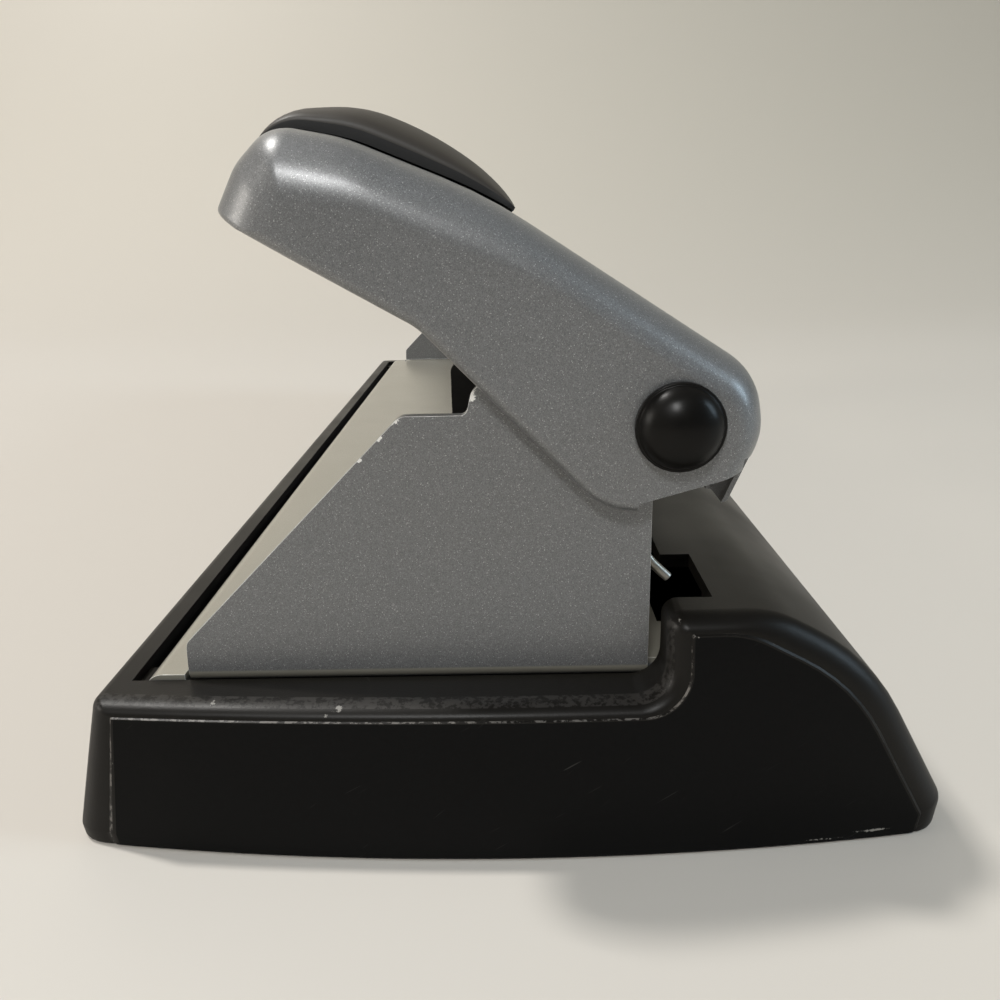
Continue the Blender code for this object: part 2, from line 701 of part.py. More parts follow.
def make_pin_spring(number, y):
    """Compression spring with its last turns laid closed."""
    low = HEAD_GUIDE_TOP + PIN_SPRING_WIRE / 2 + CLEARANCE
    high = CLIP_Z - PIN_SPRING_WIRE / 2 - CLEARANCE
    closed_turns = 1
    closed_rise = PIN_SPRING_WIRE * 1.45
    total = PIN_SPRING_TURNS + 2 * closed_turns
    per_turn = 10
    points = []
    for step in range(total * per_turn + 1):
        turn = step / per_turn
        if turn < closed_turns:
            z = low + closed_rise * turn
        elif turn > total - closed_turns:
            z = high - closed_rise * (total - turn)
        else:
            share = (turn - closed_turns) / PIN_SPRING_TURNS
            z = low + closed_rise + (high - low - 2 * closed_rise) * share
        angle = math.tau * turn
        x, depth = PIN_SPRING_RADIUS * math.cos(angle), PIN_SPRING_RADIUS * math.sin(angle)
        points.append((PIN_X + x, y + depth, z))
    print("least pin spring gap", closed_rise - PIN_SPRING_WIRE)
    tube(f"punch_spring_{number}", points, PIN_SPRING_WIRE)


def make_die(number, y):
    top = BED_TOP - SHEET - CLEARANCE
    bore = PIN_RADIUS + PIN_CLEARANCE
    ring(f"punch_die_{number}", bore, DIE_RADIUS, top - DIE_THICKNESS, top, (PIN_X, y, 0), (0, 0, 1), sides=28)


# Pivot rod, spacers, caps and the handle's springs

def make_pivot():
    centre, along = (PIVOT_X, 0, PIVOT_Z), (0, 1, 0)
    end = HANDLE_HALF_LENGTH + CAP_DOME * 0.6
    rod("pivot_rod", ROD_RADIUS, -end, end, centre, along)
    for side, label in ((-1, "near"), (1, "far")):
        outward = (0, side, 0)
        low = BED_HALF_LENGTH + CLEARANCE
        high = low + SPACER_WIDTH
        inner, outer = ROD_RADIUS + CLEARANCE, ROD_RADIUS * 1.55
        ring("pivot_spacer_" + label, inner, outer, low, high, centre, outward, "grey_nylon", 24)
        face = HANDLE_HALF_LENGTH + CLEARANCE
        rim = face + CAP_RIM
        socket = end + CLEARANCE
        profile = [(0, socket), (inner, socket), (inner, face), (CAP_RADIUS, face), (CAP_RADIUS, rim)]
        shoulder = CAP_RADIUS * 0.93
        for degrees in (0, 22, 44, 66, 90):
            swing = math.radians(degrees)
            profile.append((shoulder * math.cos(swing), rim + CAP_DOME * math.sin(swing)))
        turned("pivot_cap_" + label, profile, centre, outward, "black_plastic", 32)


def make_handle_spring(side, label):
    """Torsion spring round the rod, its lower leg down the bracket and its upper leg under the handle."""
    wire = HANDLE_SPRING_WIRE
    coil = ROD_RADIUS + wire / 2 + CLEARANCE * 2
    pitch = wire + CLEARANCE * 2
    start_y = side * (BED_HALF_LENGTH - SHEET - CLEARANCE - wire / 2)
    per_turn = 10
    toe_z = PIVOT_Z - SPRING_TOE_DROP
    points = [
        (PIVOT_X + wire * 0.2, start_y, toe_z),
        (PIVOT_X - coil * 0.40, start_y, toe_z + wire * 1.45),
        (PIVOT_X - coil * 0.76, start_y, toe_z + wire * 2.9),
        (PIVOT_X - coil * 0.94, start_y, toe_z + wire * 4.1),
        (PIVOT_X - coil, start_y, toe_z + wire * 5.4),
    ]
    leaving = math.radians(220)
    turns = HANDLE_SPRING_TURNS + (math.pi - leaving) / math.tau
    steps = round(turns * per_turn)
    for step in range(steps + 1):
        turn = turns * step / steps
        angle = math.pi - math.tau * turn
        x, z = PIVOT_X + coil * math.cos(angle), PIVOT_Z + coil * math.sin(angle)
        points.append((x, start_y - side * pitch * turn, z))
    # The upper leg lies where the handle's strip meets it when it is pressed right down.
    x, y = PIVOT_X + coil * math.cos(leaving), points[-1][1]
    z = PIVOT_Z + coil * math.sin(leaving)
    heading = leaving - math.pi / 2
    for share in (0.5, 1.0):
        reach = HANDLE_SPRING_LEG * share
        points.append((x + reach * math.cos(heading), y, z + reach * math.sin(heading)))
    print("least handle spring gap", pitch - wire)
    tube("handle_spring_" + label, points, wire)


# Handle, pad and presser

def handle_corners():
    """Section of the handle's outside, anticlockwise from the nose lip along the lower edge of the end walls."""
    reach = HANDLE_REACH
    return [
        (PIVOT_X - reach, PIVOT_Z + reach * 0.466, reach * 0.015),
        (PIVOT_X - reach * 0.564, PIVOT_Z + reach * 0.219, reach * 0.150),
        (PIVOT_X - reach * 0.160, PIVOT_Z - reach * 0.197, reach * 0.166),
        (PIVOT_X + reach * 0.138, PIVOT_Z - reach * 0.204, reach * 0.015),
        (PIVOT_X + reach * 0.212, PIVOT_Z - reach * 0.034, reach * 0.150),
        (PIVOT_X + reach * 0.190, PIVOT_Z + reach * 0.098, reach * 0.155),
        (PIVOT_X - reach * 0.411, PIVOT_Z + reach * 0.488, reach * 1.1),
        (PIVOT_X - reach * 0.714, PIVOT_Z + reach * 0.612, reach * 0.42),
        (PIVOT_X - reach * 0.868, PIVOT_Z + reach * 0.641, reach * 0.100),
        (PIVOT_X - reach * 0.950, PIVOT_Z + reach * 0.561, reach * 0.150),
    ]


def opened_below(corners):
    """The handle's section with its lip and its flange carried on downwards, in place of its lower edge."""
    lip, foot = (Vector(corners[index][:2]) for index in (0, 3))
    nose, back = (Vector(corners[index][:2]) for index in (-1, 4))
    return [
        (*(nose + (lip - nose).normalized() * BIG), 0.0),
        (*(back + (foot - back).normalized() * BIG), 0.0),
        *corners[4:],
    ]


def handle_rings(half_length, wall, radius):
    """Rings of the handle's outside, or of its inside where wall is set: each end is drawn in on an arc."""
    corners = handle_corners()
    near = []
    for degrees in (0, 18, 38, 62, 90):
        swing = math.radians(degrees)
        inset = radius * (1 - math.sin(swing))
        back = radius * (1 - math.cos(swing))
        moved = moved_in(corners, [0] * 3 + [wall + inset * share for share in HANDLE_END_SHARES])
        if wall:
            moved = opened_below(moved)
        near.append((half_length - back, rounded(moved, math.radians(9))))
    stations = [(-y, points) for y, points in near] + [(y, points) for y, points in reversed(near)]
    return [[Vector((point.x, y, point.y)) for point in points] for y, points in stations]


def make_handle():
    radius, wall = HANDLE_END_RADIUS, HANDLE_WALL
    handle = loft("handle", handle_rings(HANDLE_HALF_LENGTH, 0.0, radius), "silver_paint")
    inside = handle_rings(HANDLE_HALF_LENGTH - wall, wall, radius - wall)
    cut(handle, loft("handle_inside", inside, "silver_paint"))
    # Behind the pivot the end wall stops above the rear flange, with a slit between the two.
    low_x = PIVOT_X - HANDLE_REACH * 0.085
    flange_x = PIVOT_X + HANDLE_REACH * 0.150
    corners = [
        (low_x, PIVOT_Z - BIG, 0.0),
        (PIVOT_X + BIG, PIVOT_Z - BIG, 0.0),
        (PIVOT_X + BIG, PIVOT_Z - HANDLE_REACH * 0.083, 0.0),
        (flange_x, PIVOT_Z - HANDLE_REACH * 0.083, 0.0),
        (flange_x, PIVOT_Z - HANDLE_REACH * 0.112, 0.0),
        (low_x, PIVOT_Z - HANDLE_REACH * 0.177, 0.0),
    ]
    for side, label in ((-1, "near"), (1, "far")):
        across = sorted((side * (HANDLE_HALF_LENGTH - wall * 1.7), side * (HANDLE_HALF_LENGTH + OVERRUN)))
        cut(handle, slab("trim_" + label, rounded(corners), *across))
    hole, reach = ROD_RADIUS + CLEARANCE, HANDLE_HALF_LENGTH + OVERRUN
    cut(handle, rod("handle_hole", hole, -reach, reach, (PIVOT_X, 0, PIVOT_Z), (0, 1, 0)))
    smooth(handle)
    return handle


def handle_top_run(low_x, high_x, count, offset):
    """Points over the top of the handle from low_x to high_x, this far off its surface, with their share."""
    arcs = corner_arcs(handle_corners(), math.radians(2))[5:]
    top = [point for arc in arcs for point in arc][::-1]
    run = []
    for index in range(count):
        share = index / (count - 1)
        x = low_x + (high_x - low_x) * share
        for first, second in zip(top, top[1:]):
            if first.x <= x <= second.x:
                slope = (second - first).normalized()
                z = first.y + (second.y - first.y) * (x - first.x) / (second.x - first.x)
                normal = Vector((-slope.y, slope.x))
                run.append((Vector((x, z)) + normal * offset, normal, share))
                break
    return run


def make_pad():
    """Crowned grip pad that follows the handle's top and thins out to its edges."""
    rings = []
    run = handle_top_run(PAD_FRONT_X, PAD_REAR_X, 15, CLEARANCE)
    end_shares = ((0.0, 0.0), (0.12, 0.45), (0.4, 0.82), (1.0, 1.0))
    slope = PAD_THICKNESS * 3
    half_length = HANDLE_HALF_LENGTH - PAD_END_INSET
    near = [(half_length - slope * back, fullness) for back, fullness in end_shares]
    stations = [(-y, fullness) for y, fullness in near] + [(y, fullness) for y, fullness in reversed(near)]
    for y, fullness in stations:
        lower = [place for place, _, _ in run]
        upper = []
        for place, normal, share in run:
            crown = max(0.0, math.sin(math.pi * share)) ** 0.75
            edge = PAD_EDGE * (0.35 + 0.65 * crown)
            upper.append(place + normal * (edge + (PAD_THICKNESS - PAD_EDGE) * crown * fullness))
        rings.append([Vector((point.x, y, point.y)) for point in lower + upper[::-1]])
    return loft("handle_pad", rings, "black_rubber")


def make_presser():
    """Strip under the handle's top whose three lugs push the pins, each with a rounded end."""
    wall = HANDLE_WALL
    run = handle_top_run(PIN_X + LUG_THICKNESS, PIN_X + LUG_THICKNESS + PRESSER_WIDTH, 2, -wall - CLEARANCE)
    (start, up, _), (end, _, _) = run
    strip = [start, end, end - up * SHEET, start - up * SHEET]
    length = HANDLE_HALF_LENGTH - PRESSER_END_INSET
    presser = slab("presser_bar", strip[::-1], -length, length, "bright_steel")
    radius = LUG_THICKNESS / 2
    lug_top = start.y - SHEET
    for number, y in head_places():
        corners = [
            (PIN_X - radius, PIN_TOP + CLEARANCE, radius * 0.98),
            (PIN_X + radius, PIN_TOP + CLEARANCE, radius * 0.98),
            (PIN_X + radius, lug_top - LUG_THICKNESS, 0.0),
            (start.x + LUG_THICKNESS, end.y + (start.y - end.y) * 0.55, 0.0),
            (start.x + LUG_THICKNESS * 0.2, start.y - SHEET * 0.5, 0.0),
            (PIN_X - radius, lug_top - SHEET * 0.2, radius * 0.5),
        ]
        width = LUG_HALF_WIDTH
        join(presser, slab(f"lug_{number}", rounded(corners, math.radians(22)), y - width, y + width))
    smooth(presser)
    return presser


make_tray()
make_bed_plate()
for head_number, head_y in head_places():
    make_head(head_number, head_y)
    make_screws(head_number, head_y)
    make_pin(head_number, head_y)
    make_clip(head_number, head_y)
    make_pin_spring(head_number, head_y)
    make_die(head_number, head_y)
make_pivot()
make_handle_spring(-1, "near")
make_handle_spring(1, "far")
make_handle()
make_pad()
make_presser()
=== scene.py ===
"""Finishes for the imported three-hole punch, with its floor, light and camera.

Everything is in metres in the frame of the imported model. +Z is up, +Y runs along the punch, and the origin
is on the table.
"""

import json
import math

import bmesh
import bpy
from mathutils import Matrix, Vector
from mathutils.geometry import delaunay_2d_cdt


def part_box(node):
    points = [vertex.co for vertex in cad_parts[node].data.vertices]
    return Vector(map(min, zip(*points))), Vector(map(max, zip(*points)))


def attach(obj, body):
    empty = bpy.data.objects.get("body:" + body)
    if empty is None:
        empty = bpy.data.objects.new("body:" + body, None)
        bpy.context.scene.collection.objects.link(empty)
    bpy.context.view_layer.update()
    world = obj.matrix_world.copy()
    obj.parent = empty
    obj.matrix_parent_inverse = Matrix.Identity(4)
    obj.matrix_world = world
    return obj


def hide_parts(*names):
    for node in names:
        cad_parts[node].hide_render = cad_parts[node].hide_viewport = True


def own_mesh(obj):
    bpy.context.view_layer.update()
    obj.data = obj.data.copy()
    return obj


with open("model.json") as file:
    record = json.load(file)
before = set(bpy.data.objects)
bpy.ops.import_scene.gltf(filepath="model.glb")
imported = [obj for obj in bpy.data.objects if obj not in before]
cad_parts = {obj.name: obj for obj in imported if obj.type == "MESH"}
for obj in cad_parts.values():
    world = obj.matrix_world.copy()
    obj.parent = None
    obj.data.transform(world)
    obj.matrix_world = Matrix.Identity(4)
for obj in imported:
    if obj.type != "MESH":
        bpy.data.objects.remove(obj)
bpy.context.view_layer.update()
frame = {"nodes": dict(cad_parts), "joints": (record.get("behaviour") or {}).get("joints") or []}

# Corners of a CAD mesh closer than this are one corner, and faces within this angle lie in one plane.
SAME_PLACE = 2e-6
SAME_PLANE = math.radians(0.5)
# A corner that is moved in keeps at least this share of its radius.
LEAST_RADIUS_SHARE = 0.15


# Meshes

def new_object(name, mesh, materials):
    """A piece of this mesh and these materials, linked to the scene."""
    made = bpy.data.objects.new(name, mesh)
    bpy.context.scene.collection.objects.link(made)
    for material in materials:
        mesh.materials.append(material)
    return made


def new_mesh(name, form):
    """The mesh of a finished bmesh, which is freed."""
    mesh = bpy.data.meshes.new(name)
    form.to_mesh(mesh)
    form.free()
    return mesh


def smooth(piece, angle=40):
    """Smooth shading, broken at edges sharper than this many degrees."""
    piece.data.shade_smooth()
    piece.data.set_sharp_from_angle(angle=math.radians(angle))


def crisp(piece, width, segments=2, angle=28, edge_material=-1):
    """Small rounds on a piece's sharp edges, with its flat faces kept flat.

    edge_material is the place of the rounds' own material in the piece's list, or -1 for none of their own.
    """
    bevel = piece.modifiers.new("edge_round", "BEVEL")
    bevel.width = width
    bevel.segments = segments
    bevel.limit_method = "ANGLE"
    bevel.angle_limit = math.radians(angle)
    bevel.material = edge_material
    bevel.use_clamp_overlap = True
    weighted = piece.modifiers.new("flat_faces", "WEIGHTED_NORMAL")
    weighted.keep_sharp = True


def whole_copy(node, name, materials):
    """A CAD node's mesh with its corners joined and its flat faces whole again, as a piece in its place."""
    form = bmesh.new()
    form.from_mesh(frame["nodes"][node].data)
    bmesh.ops.remove_doubles(form, verts=form.verts, dist=SAME_PLACE)
    bmesh.ops.dissolve_limit(form, angle_limit=SAME_PLANE, verts=form.verts, edges=form.edges)
    made = new_object(name, new_mesh(name, form), materials)
    smooth(made)
    return made


def settle(piece, body, slot, *nodes):
    """Puts a finished piece on its body, with the CAD nodes that it stands for; its slot is not used."""
    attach(piece, body)
    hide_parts(*nodes)


# Outlines: lists of corners (x, z, radius), turned into points with round corners

def direction(start, end):
    """The unit vector from one point towards another."""
    return (Vector(end) - Vector(start)).normalized()


def corner_arcs(corners, arc_step):
    """For each corner (x, z, radius) of a closed outline, the points of its arc."""
    arcs = []
    for index, (x, z, radius) in enumerate(corners):
        here = Vector((x, z))
        before = direction(here, corners[index - 1][:2])
        after = direction(here, corners[(index + 1) % len(corners)][:2])
        half_angle = before.angle(after) / 2
        if radius <= 0 or half_angle > math.radians(89):
            arcs.append([here])
            continue
        centre = here + (before + after).normalized() * (radius / math.sin(half_angle))
        run = radius / math.tan(half_angle)
        start, end = here + before * run - centre, here + after * run - centre
        turn = math.copysign(math.pi - 2 * half_angle, start.x * end.y - start.y * end.x)
        steps = max(1, math.ceil(abs(turn) / arc_step))
        arcs.append([centre + Matrix.Rotation(turn * step / steps, 2) @ start for step in range(steps + 1)])
    return arcs


def rounded(corners, arc_step=math.radians(6)):
    """Points of a closed outline whose corners (x, z, radius) are rounded by arcs."""
    return [point for arc in corner_arcs(corners, arc_step) for point in arc]


def moved_in(corners, distances):
    """The same corners with each edge moved inwards by its own distance. Corners run anticlockwise."""
    count = len(corners)
    lines = []
    for index, (x, z, _) in enumerate(corners):
        along = direction((x, z), corners[(index + 1) % count][:2])
        lines.append((Vector((x, z)) + Vector((-along.y, along.x)) * distances[index], along))
    moved = []
    for index, (_, _, radius) in enumerate(corners):
        (first, along), (second, onward) = lines[index - 1], lines[index]
        turn = along.x * onward.y - along.y * onward.x
        gap = second - first
        reach = (gap.x * onward.y - gap.y * onward.x) / turn
        shift = min(distances[index - 1], distances[index])
        rounding = radius - shift if turn > 0 else radius + shift
        moved.append((*(first + along * reach), max(rounding, radius * LEAST_RADIUS_SHARE)))
    return moved


def side_counts(points, longest):
    """How many pieces each side of the outline is divided into, so that none is longer than this."""
    sides = zip(points, points[1:] + points[:1])
    return [max(1, math.ceil((after - point).length / longest)) for point, after in sides]


def divided(points, counts):
    """The outline with each side divided into its count of pieces."""
    result = []
    for index, (point, pieces) in enumerate(zip(points, counts)):
        after = points[(index + 1) % len(points)]
        result += [point.lerp(after, piece / pieces) for piece in range(pieces)]
    return result


def loft(name, rings, materials, paint=None, sharp=40, cap_material=0):
    """A closed piece through rings of equally many points, with flat caps that follow the end rings.

    paint(row, index) gives the material of the face between ring row and the next, at that point.
    """
    form = bmesh.new()
    rows = [[form.verts.new(point) for point in ring] for ring in rings]
    for place, (row, following) in enumerate(zip(rows, rows[1:])):
        for index in range(len(row)):
            after = (index + 1) % len(row)
            face = form.faces.new((row[index], row[after], following[after], following[index]))
            if paint:
                face.material_index = paint(place, index)
    for row in (rows[0], rows[-1]):
        flat = [Vector((vertex.co.x, vertex.co.z)) for vertex in row]
        edges = [(index, (index + 1) % len(flat)) for index in range(len(flat))]
        for triangle in delaunay_2d_cdt(flat, edges, [], 1, 1e-8)[2]:
            form.faces.new([row[index] for index in triangle]).material_index = cap_material
    bmesh.ops.recalc_face_normals(form, faces=form.faces)
    made = new_object(name, new_mesh(name, form), materials)
    smooth(made, sharp)
    return made


def slab(name, points, y_low, y_high, materials):
    """An outline in X and Z, given its thickness along Y."""
    return loft(name, [[Vector((p.x, y, p.y)) for p in points] for y in (y_low, y_high)], materials)


def block(name, low, high, materials):
    """A box between its lowest and highest corners."""
    corners = ((low[0], low[2]), (high[0], low[2]), (high[0], high[2]), (low[0], high[2]))
    return slab(name, [Vector(corner) for corner in corners], low[1], high[1], materials)


def wire(name, points, thickness, materials):
    """Round wire along a run of points."""
    curve = bpy.data.curves.new(name, "CURVE")
    curve.dimensions = "3D"
    curve.bevel_depth = thickness / 2
    curve.bevel_resolution = 3
    curve.use_fill_caps = True
    spline = curve.splines.new("POLY")
    spline.points.add(len(points) - 1)
    for place, point in zip(spline.points, points):
        place.co = (*point, 1.0)
    holder = bpy.data.objects.new(name + "_path", curve)
    bpy.context.scene.collection.objects.link(holder)
    graph = bpy.context.evaluated_depsgraph_get()
    mesh = bpy.data.meshes.new_from_object(holder.evaluated_get(graph))
    bpy.data.objects.remove(holder, do_unlink=True)
    made = new_object(name, mesh, materials)
    smooth(made, 60)
    return made


def cut(target, *tools):
    """Cuts each tool out of the target and removes it."""
    for tool in tools:
        modifier = target.modifiers.new(tool.name, "BOOLEAN")
        modifier.operation = "DIFFERENCE"
        modifier.object = tool
        graph = bpy.context.evaluated_depsgraph_get()
        mesh = bpy.data.meshes.new_from_object(target.evaluated_get(graph))
        target.modifiers.clear()
        target.data = mesh
        bpy.data.objects.remove(tool, do_unlink=True)


# Shader building

def new_group(name, inputs, outputs):
    """A shader group with inputs (name, kind, value) and outputs (name, kind)."""
    group = bpy.data.node_groups.new(name, "ShaderNodeTree")
    for label, kind, value in inputs:
        socket = group.interface.new_socket(label, in_out="INPUT", socket_type=kind)
        if value is not None:
            socket.default_value = value
    for label, kind in outputs:
        group.interface.new_socket(label, in_out="OUTPUT", socket_type=kind)
    entry = group.nodes.new("NodeGroupInput")
    leave = group.nodes.new("NodeGroupOutput")
    return group, entry.outputs, leave.inputs


class Shading:
    """Short ways to add and join nodes in one node tree."""

    def __init__(self, tree):
        self.tree = tree

    def feed(self, socket, value):
        """Links another node's socket to this one, or sets a plain value on it."""
        if isinstance(value, bpy.types.NodeSocket):
            self.tree.links.new(value, socket)
        else:
            socket.default_value = value

    def node(self, kind, settings=None, **inputs):
        """A new node, with its settings and its inputs. In an input's name, _ stands for a space."""
        made = self.tree.nodes.new(kind)
        for label, value in (settings or {}).items():
            setattr(made, label, value)
        for label, value in inputs.items():
            self.feed(made.inputs[label.replace("_", " ")], value)
        return made

    def place(self):
        """Where a point lies in its piece, in metres."""
        return self.node("ShaderNodeTexCoord").outputs["Object"]

    def stretched(self, vector, scale):
        return self.node("ShaderNodeMapping", Vector=vector, Scale=scale).outputs["Vector"]

    def noise(self, vector, scale, detail=2.0, roughness=0.5):
        inputs = {"Vector": vector, "Scale": scale, "Detail": detail, "Roughness": roughness}
        return self.node("ShaderNodeTexNoise", **inputs).outputs["Fac"]

    def maths(self, operation, *values, clamp=False):
        made = self.node("ShaderNodeMath", {"operation": operation, "use_clamp": clamp})
        for socket, value in zip(made.inputs, values):
            self.feed(socket, value)
        return made.outputs["Value"]

    def ramp(self, value, low, high, to_low=0.0, to_high=1.0):
        """A soft change from to_low to to_high, as the value goes from low to high."""
        made = self.node("ShaderNodeMapRange", {"interpolation_type": "SMOOTHSTEP"}, Value=value)
        limits = {"From Min": low, "From Max": high, "To Min": to_low, "To Max": to_high}
        for label, number in limits.items():
            self.feed(made.inputs[label], number)
        return made.outputs["Result"]

    def mix(self, factor, first, second):
        """A blend of two colours, each a socket or its red, green and blue."""
        made = self.node("ShaderNodeMix", {"data_type": "RGBA"})
        self.feed(made.inputs[0], factor)
        for socket, colour in zip((made.inputs[6], made.inputs[7]), (first, second)):
            self.feed(socket, (*colour, 1.0) if isinstance(colour, tuple) else colour)
        return made.outputs[2]

    def mark(self, vector, place, reach):
        """A ragged mark: 1 at a place, and 0 beyond its reach along X, Y and Z."""
        away = self.node("ShaderNodeVectorMath", {"operation": "SUBTRACT"})
        self.feed(away.inputs[0], vector)
        self.feed(away.inputs[1], place)
        shares = self.node("ShaderNodeVectorMath", {"operation": "DIVIDE"})
        self.feed(shares.inputs[0], away.outputs["Vector"])
        self.feed(shares.inputs[1], reach)
        length = self.node("ShaderNodeVectorMath", {"operation": "LENGTH"})
        self.feed(length.inputs[0], shares.outputs["Vector"])
        grit = self.noise(vector, 2200.0, 4.0, 0.7)
        ragged = self.maths("MULTIPLY_ADD", grit, 2.4, length.outputs["Value"])
        return self.ramp(ragged, 2.0, 1.75)

    def marks(self, vector, places):
        """The strongest of the marks at these places (x, y, z, reach x, reach y, reach z)."""
        found = [self.mark(vector, place[:3], place[3:]) for place in places]
        while len(found) > 1:
            found.append(self.maths("MAXIMUM", found.pop(0), found.pop(0)))
        return found[0]

    def group(self, group, **inputs):
        return self.node("ShaderNodeGroup", {"node_tree": group}, **inputs).outputs

    def bump(self, height, strength, distance):
        made = self.node("ShaderNodeBump", Strength=strength, Distance=distance, Height=height)
        return made.outputs["Normal"]


def new_material(name):
    """A material, the means to build its nodes, and the inputs of its shader."""
    material = bpy.data.materials.new(name)
    material.use_nodes = True
    shader = material.node_tree.nodes["Principled BSDF"]
    return material, Shading(material.node_tree), shader.inputs


VALUE = "NodeSocketFloat"
POINT = "NodeSocketVector"


def make_grain_group():
    """Fine moulded or rolled grain: a height for a bump, and a slow unevenness."""
    group, given, result = new_group(
        "moulded_grain",
        [("Vector", POINT, None), ("Size", VALUE, 0.0004), ("Patch Size", VALUE, 0.02)],
        [("Height", VALUE), ("Patches", VALUE)],
    )
    make = Shading(group)
    fine = make.noise(given["Vector"], make.maths("DIVIDE", 1.0, given["Size"]), 3.0, 0.6)
    patches = make.noise(given["Vector"], make.maths("DIVIDE", 1.0, given["Patch Size"]), 3.0, 0.55)
    make.feed(result["Height"], fine)
    make.feed(result["Patches"], patches)
    return group


def make_scratch_group():
    """Hair scratches in two directions, kept to patches: 0 clear, 1 scratched."""
    group, given, result = new_group(
        "hair_scratches",
        [("Vector", POINT, None), ("Amount", VALUE, 0.3)],
        [("Scratches", VALUE)],
    )
    make = Shading(group)
    masks = []
    for turn, long_way in ((0.5, (150.0, 150.0, 4200.0)), (-0.9, (3600.0, 150.0, 170.0))):
        turned = make.node("ShaderNodeMapping", Vector=given["Vector"], Rotation=(0.0, turn, turn * 0.3))
        lines = make.noise(make.stretched(turned.outputs["Vector"], long_way), 1.0, 1.0, 0.4)
        masks.append(make.ramp(lines, 0.72, 0.80))
    patches = make.ramp(make.noise(given["Vector"], 120.0, 2.0), 0.52, 0.70)
    both = make.maths("MAXIMUM", masks[0], masks[1])
    kept = make.maths("MULTIPLY", both, patches)
    make.feed(result["Scratches"], make.maths("MULTIPLY", kept, given["Amount"], clamp=True))
    return group


def make_flake_group():
    """Metal flakes in paint: a bright speck mask, a soft mottle and a tilted normal."""
    group, given, result = new_group(
        "metal_flakes",
        [("Vector", POINT, None), ("Flake Size", VALUE, 0.00016), ("Tilt", VALUE, 0.5)],
        [("Specks", VALUE), ("Mottle", VALUE), ("Normal", POINT)],
    )
    make = Shading(group)
    scale = make.maths("DIVIDE", 1.0, given["Flake Size"])
    cells = make.node("ShaderNodeTexVoronoi", Vector=given["Vector"], Scale=scale)
    channels = make.node("ShaderNodeSeparateColor", Color=cells.outputs["Color"]).outputs
    make.feed(result["Specks"], make.ramp(channels["Red"], 0.955, 0.999, 0.0, 0.8))
    make.feed(result["Mottle"], channels["Blue"])
    make.feed(result["Normal"], make.bump(channels["Green"], given["Tilt"], 0.00004))
    return group


def make_worn_edge_group():
    """Where a sharp edge is rubbed through: 0 kept, 1 bare, in broken lengths."""
    group, given, result = new_group(
        "worn_edge",
        [("Vector", POINT, None), ("Amount", VALUE, 0.5), ("Size", VALUE, 0.004)],
        [("Bare", VALUE)],
    )
    make = Shading(group)
    scale = make.maths("DIVIDE", 1.0, given["Size"])
    lengths = make.noise(given["Vector"], scale, 5.0, 0.7)
    threshold = make.maths("SUBTRACT", 1.0, given["Amount"])
    low = make.maths("MULTIPLY_ADD", threshold, 0.5, 0.22)
    high = make.maths("ADD", low, 0.08)
    make.feed(result["Bare"], make.ramp(lengths, low, high))
    return group


GRAIN = make_grain_group()
SCRATCH = make_scratch_group()
FLAKES = make_flake_group()
WORN = make_worn_edge_group()


# Finishes

# Chips in the paint of the near bracket, and nicks in the near end of the tray: each mark's place along X, Y
# and Z, and then its reach along them.
PAINT_CHIPS = [
    (-0.0130, -0.1423, 0.0541, 0.0011, 0.0012, 0.0006),
    (-0.0150, -0.1423, 0.0521, 0.0008, 0.0012, 0.0005),
    (-0.0174, -0.1423, 0.0494, 0.0005, 0.0012, 0.0004),
    (-0.0034, -0.1423, 0.0576, 0.0007, 0.0012, 0.0020),
]
TRAY_NICKS = [
    (-0.0370, -0.1490, 0.0197, 0.0005, 0.0016, 0.0003),
    (-0.0352, -0.1488, 0.0200, 0.0008, 0.0016, 0.0003),
    (-0.0208, -0.1492, 0.0193, 0.0008, 0.0016, 0.0003),
    (-0.0222, -0.1494, 0.0188, 0.0006, 0.0016, 0.0002),
    (0.0217, -0.1490, 0.0300, 0.0003, 0.0016, 0.0005),
    (0.0236, -0.1505, 0.0283, 0.0005, 0.0010, 0.0003),
    (-0.0502, -0.1505, 0.0118, 0.0002, 0.0010, 0.0008),
    (0.0290, -0.1505, 0.0299, 0.0010, 0.0010, 0.0002),
    (0.0394, -0.1505, 0.0008, 0.0040, 0.0020, 0.0002),
    (0.0470, -0.1505, 0.0014, 0.0026, 0.0020, 0.0002),
]

# The heights in which the bed's top is painted paler and warmer, as painted light from above: their upper
# limit, a little above the bed's top, and how deep they reach and how softly they begin and end.
PAINTED_LIGHT_LIMIT = 0.0210
PAINTED_LIGHT_DEPTH = 0.0016
PAINTED_LIGHT_TOP_FADE = 0.0004
PAINTED_LIGHT_FOOT_FADE = 0.0006
# The moulding's darkest and palest black, and those of its end panels, which shine less and are painted
# darker as painted shade.
MOULDED_BLACKS = ((0.0050, 0.0044, 0.0036), (0.0088, 0.0077, 0.0062))
PANEL_SHADED_BLACKS = ((0.0026, 0.0027, 0.0027), (0.0046, 0.0046, 0.0045))


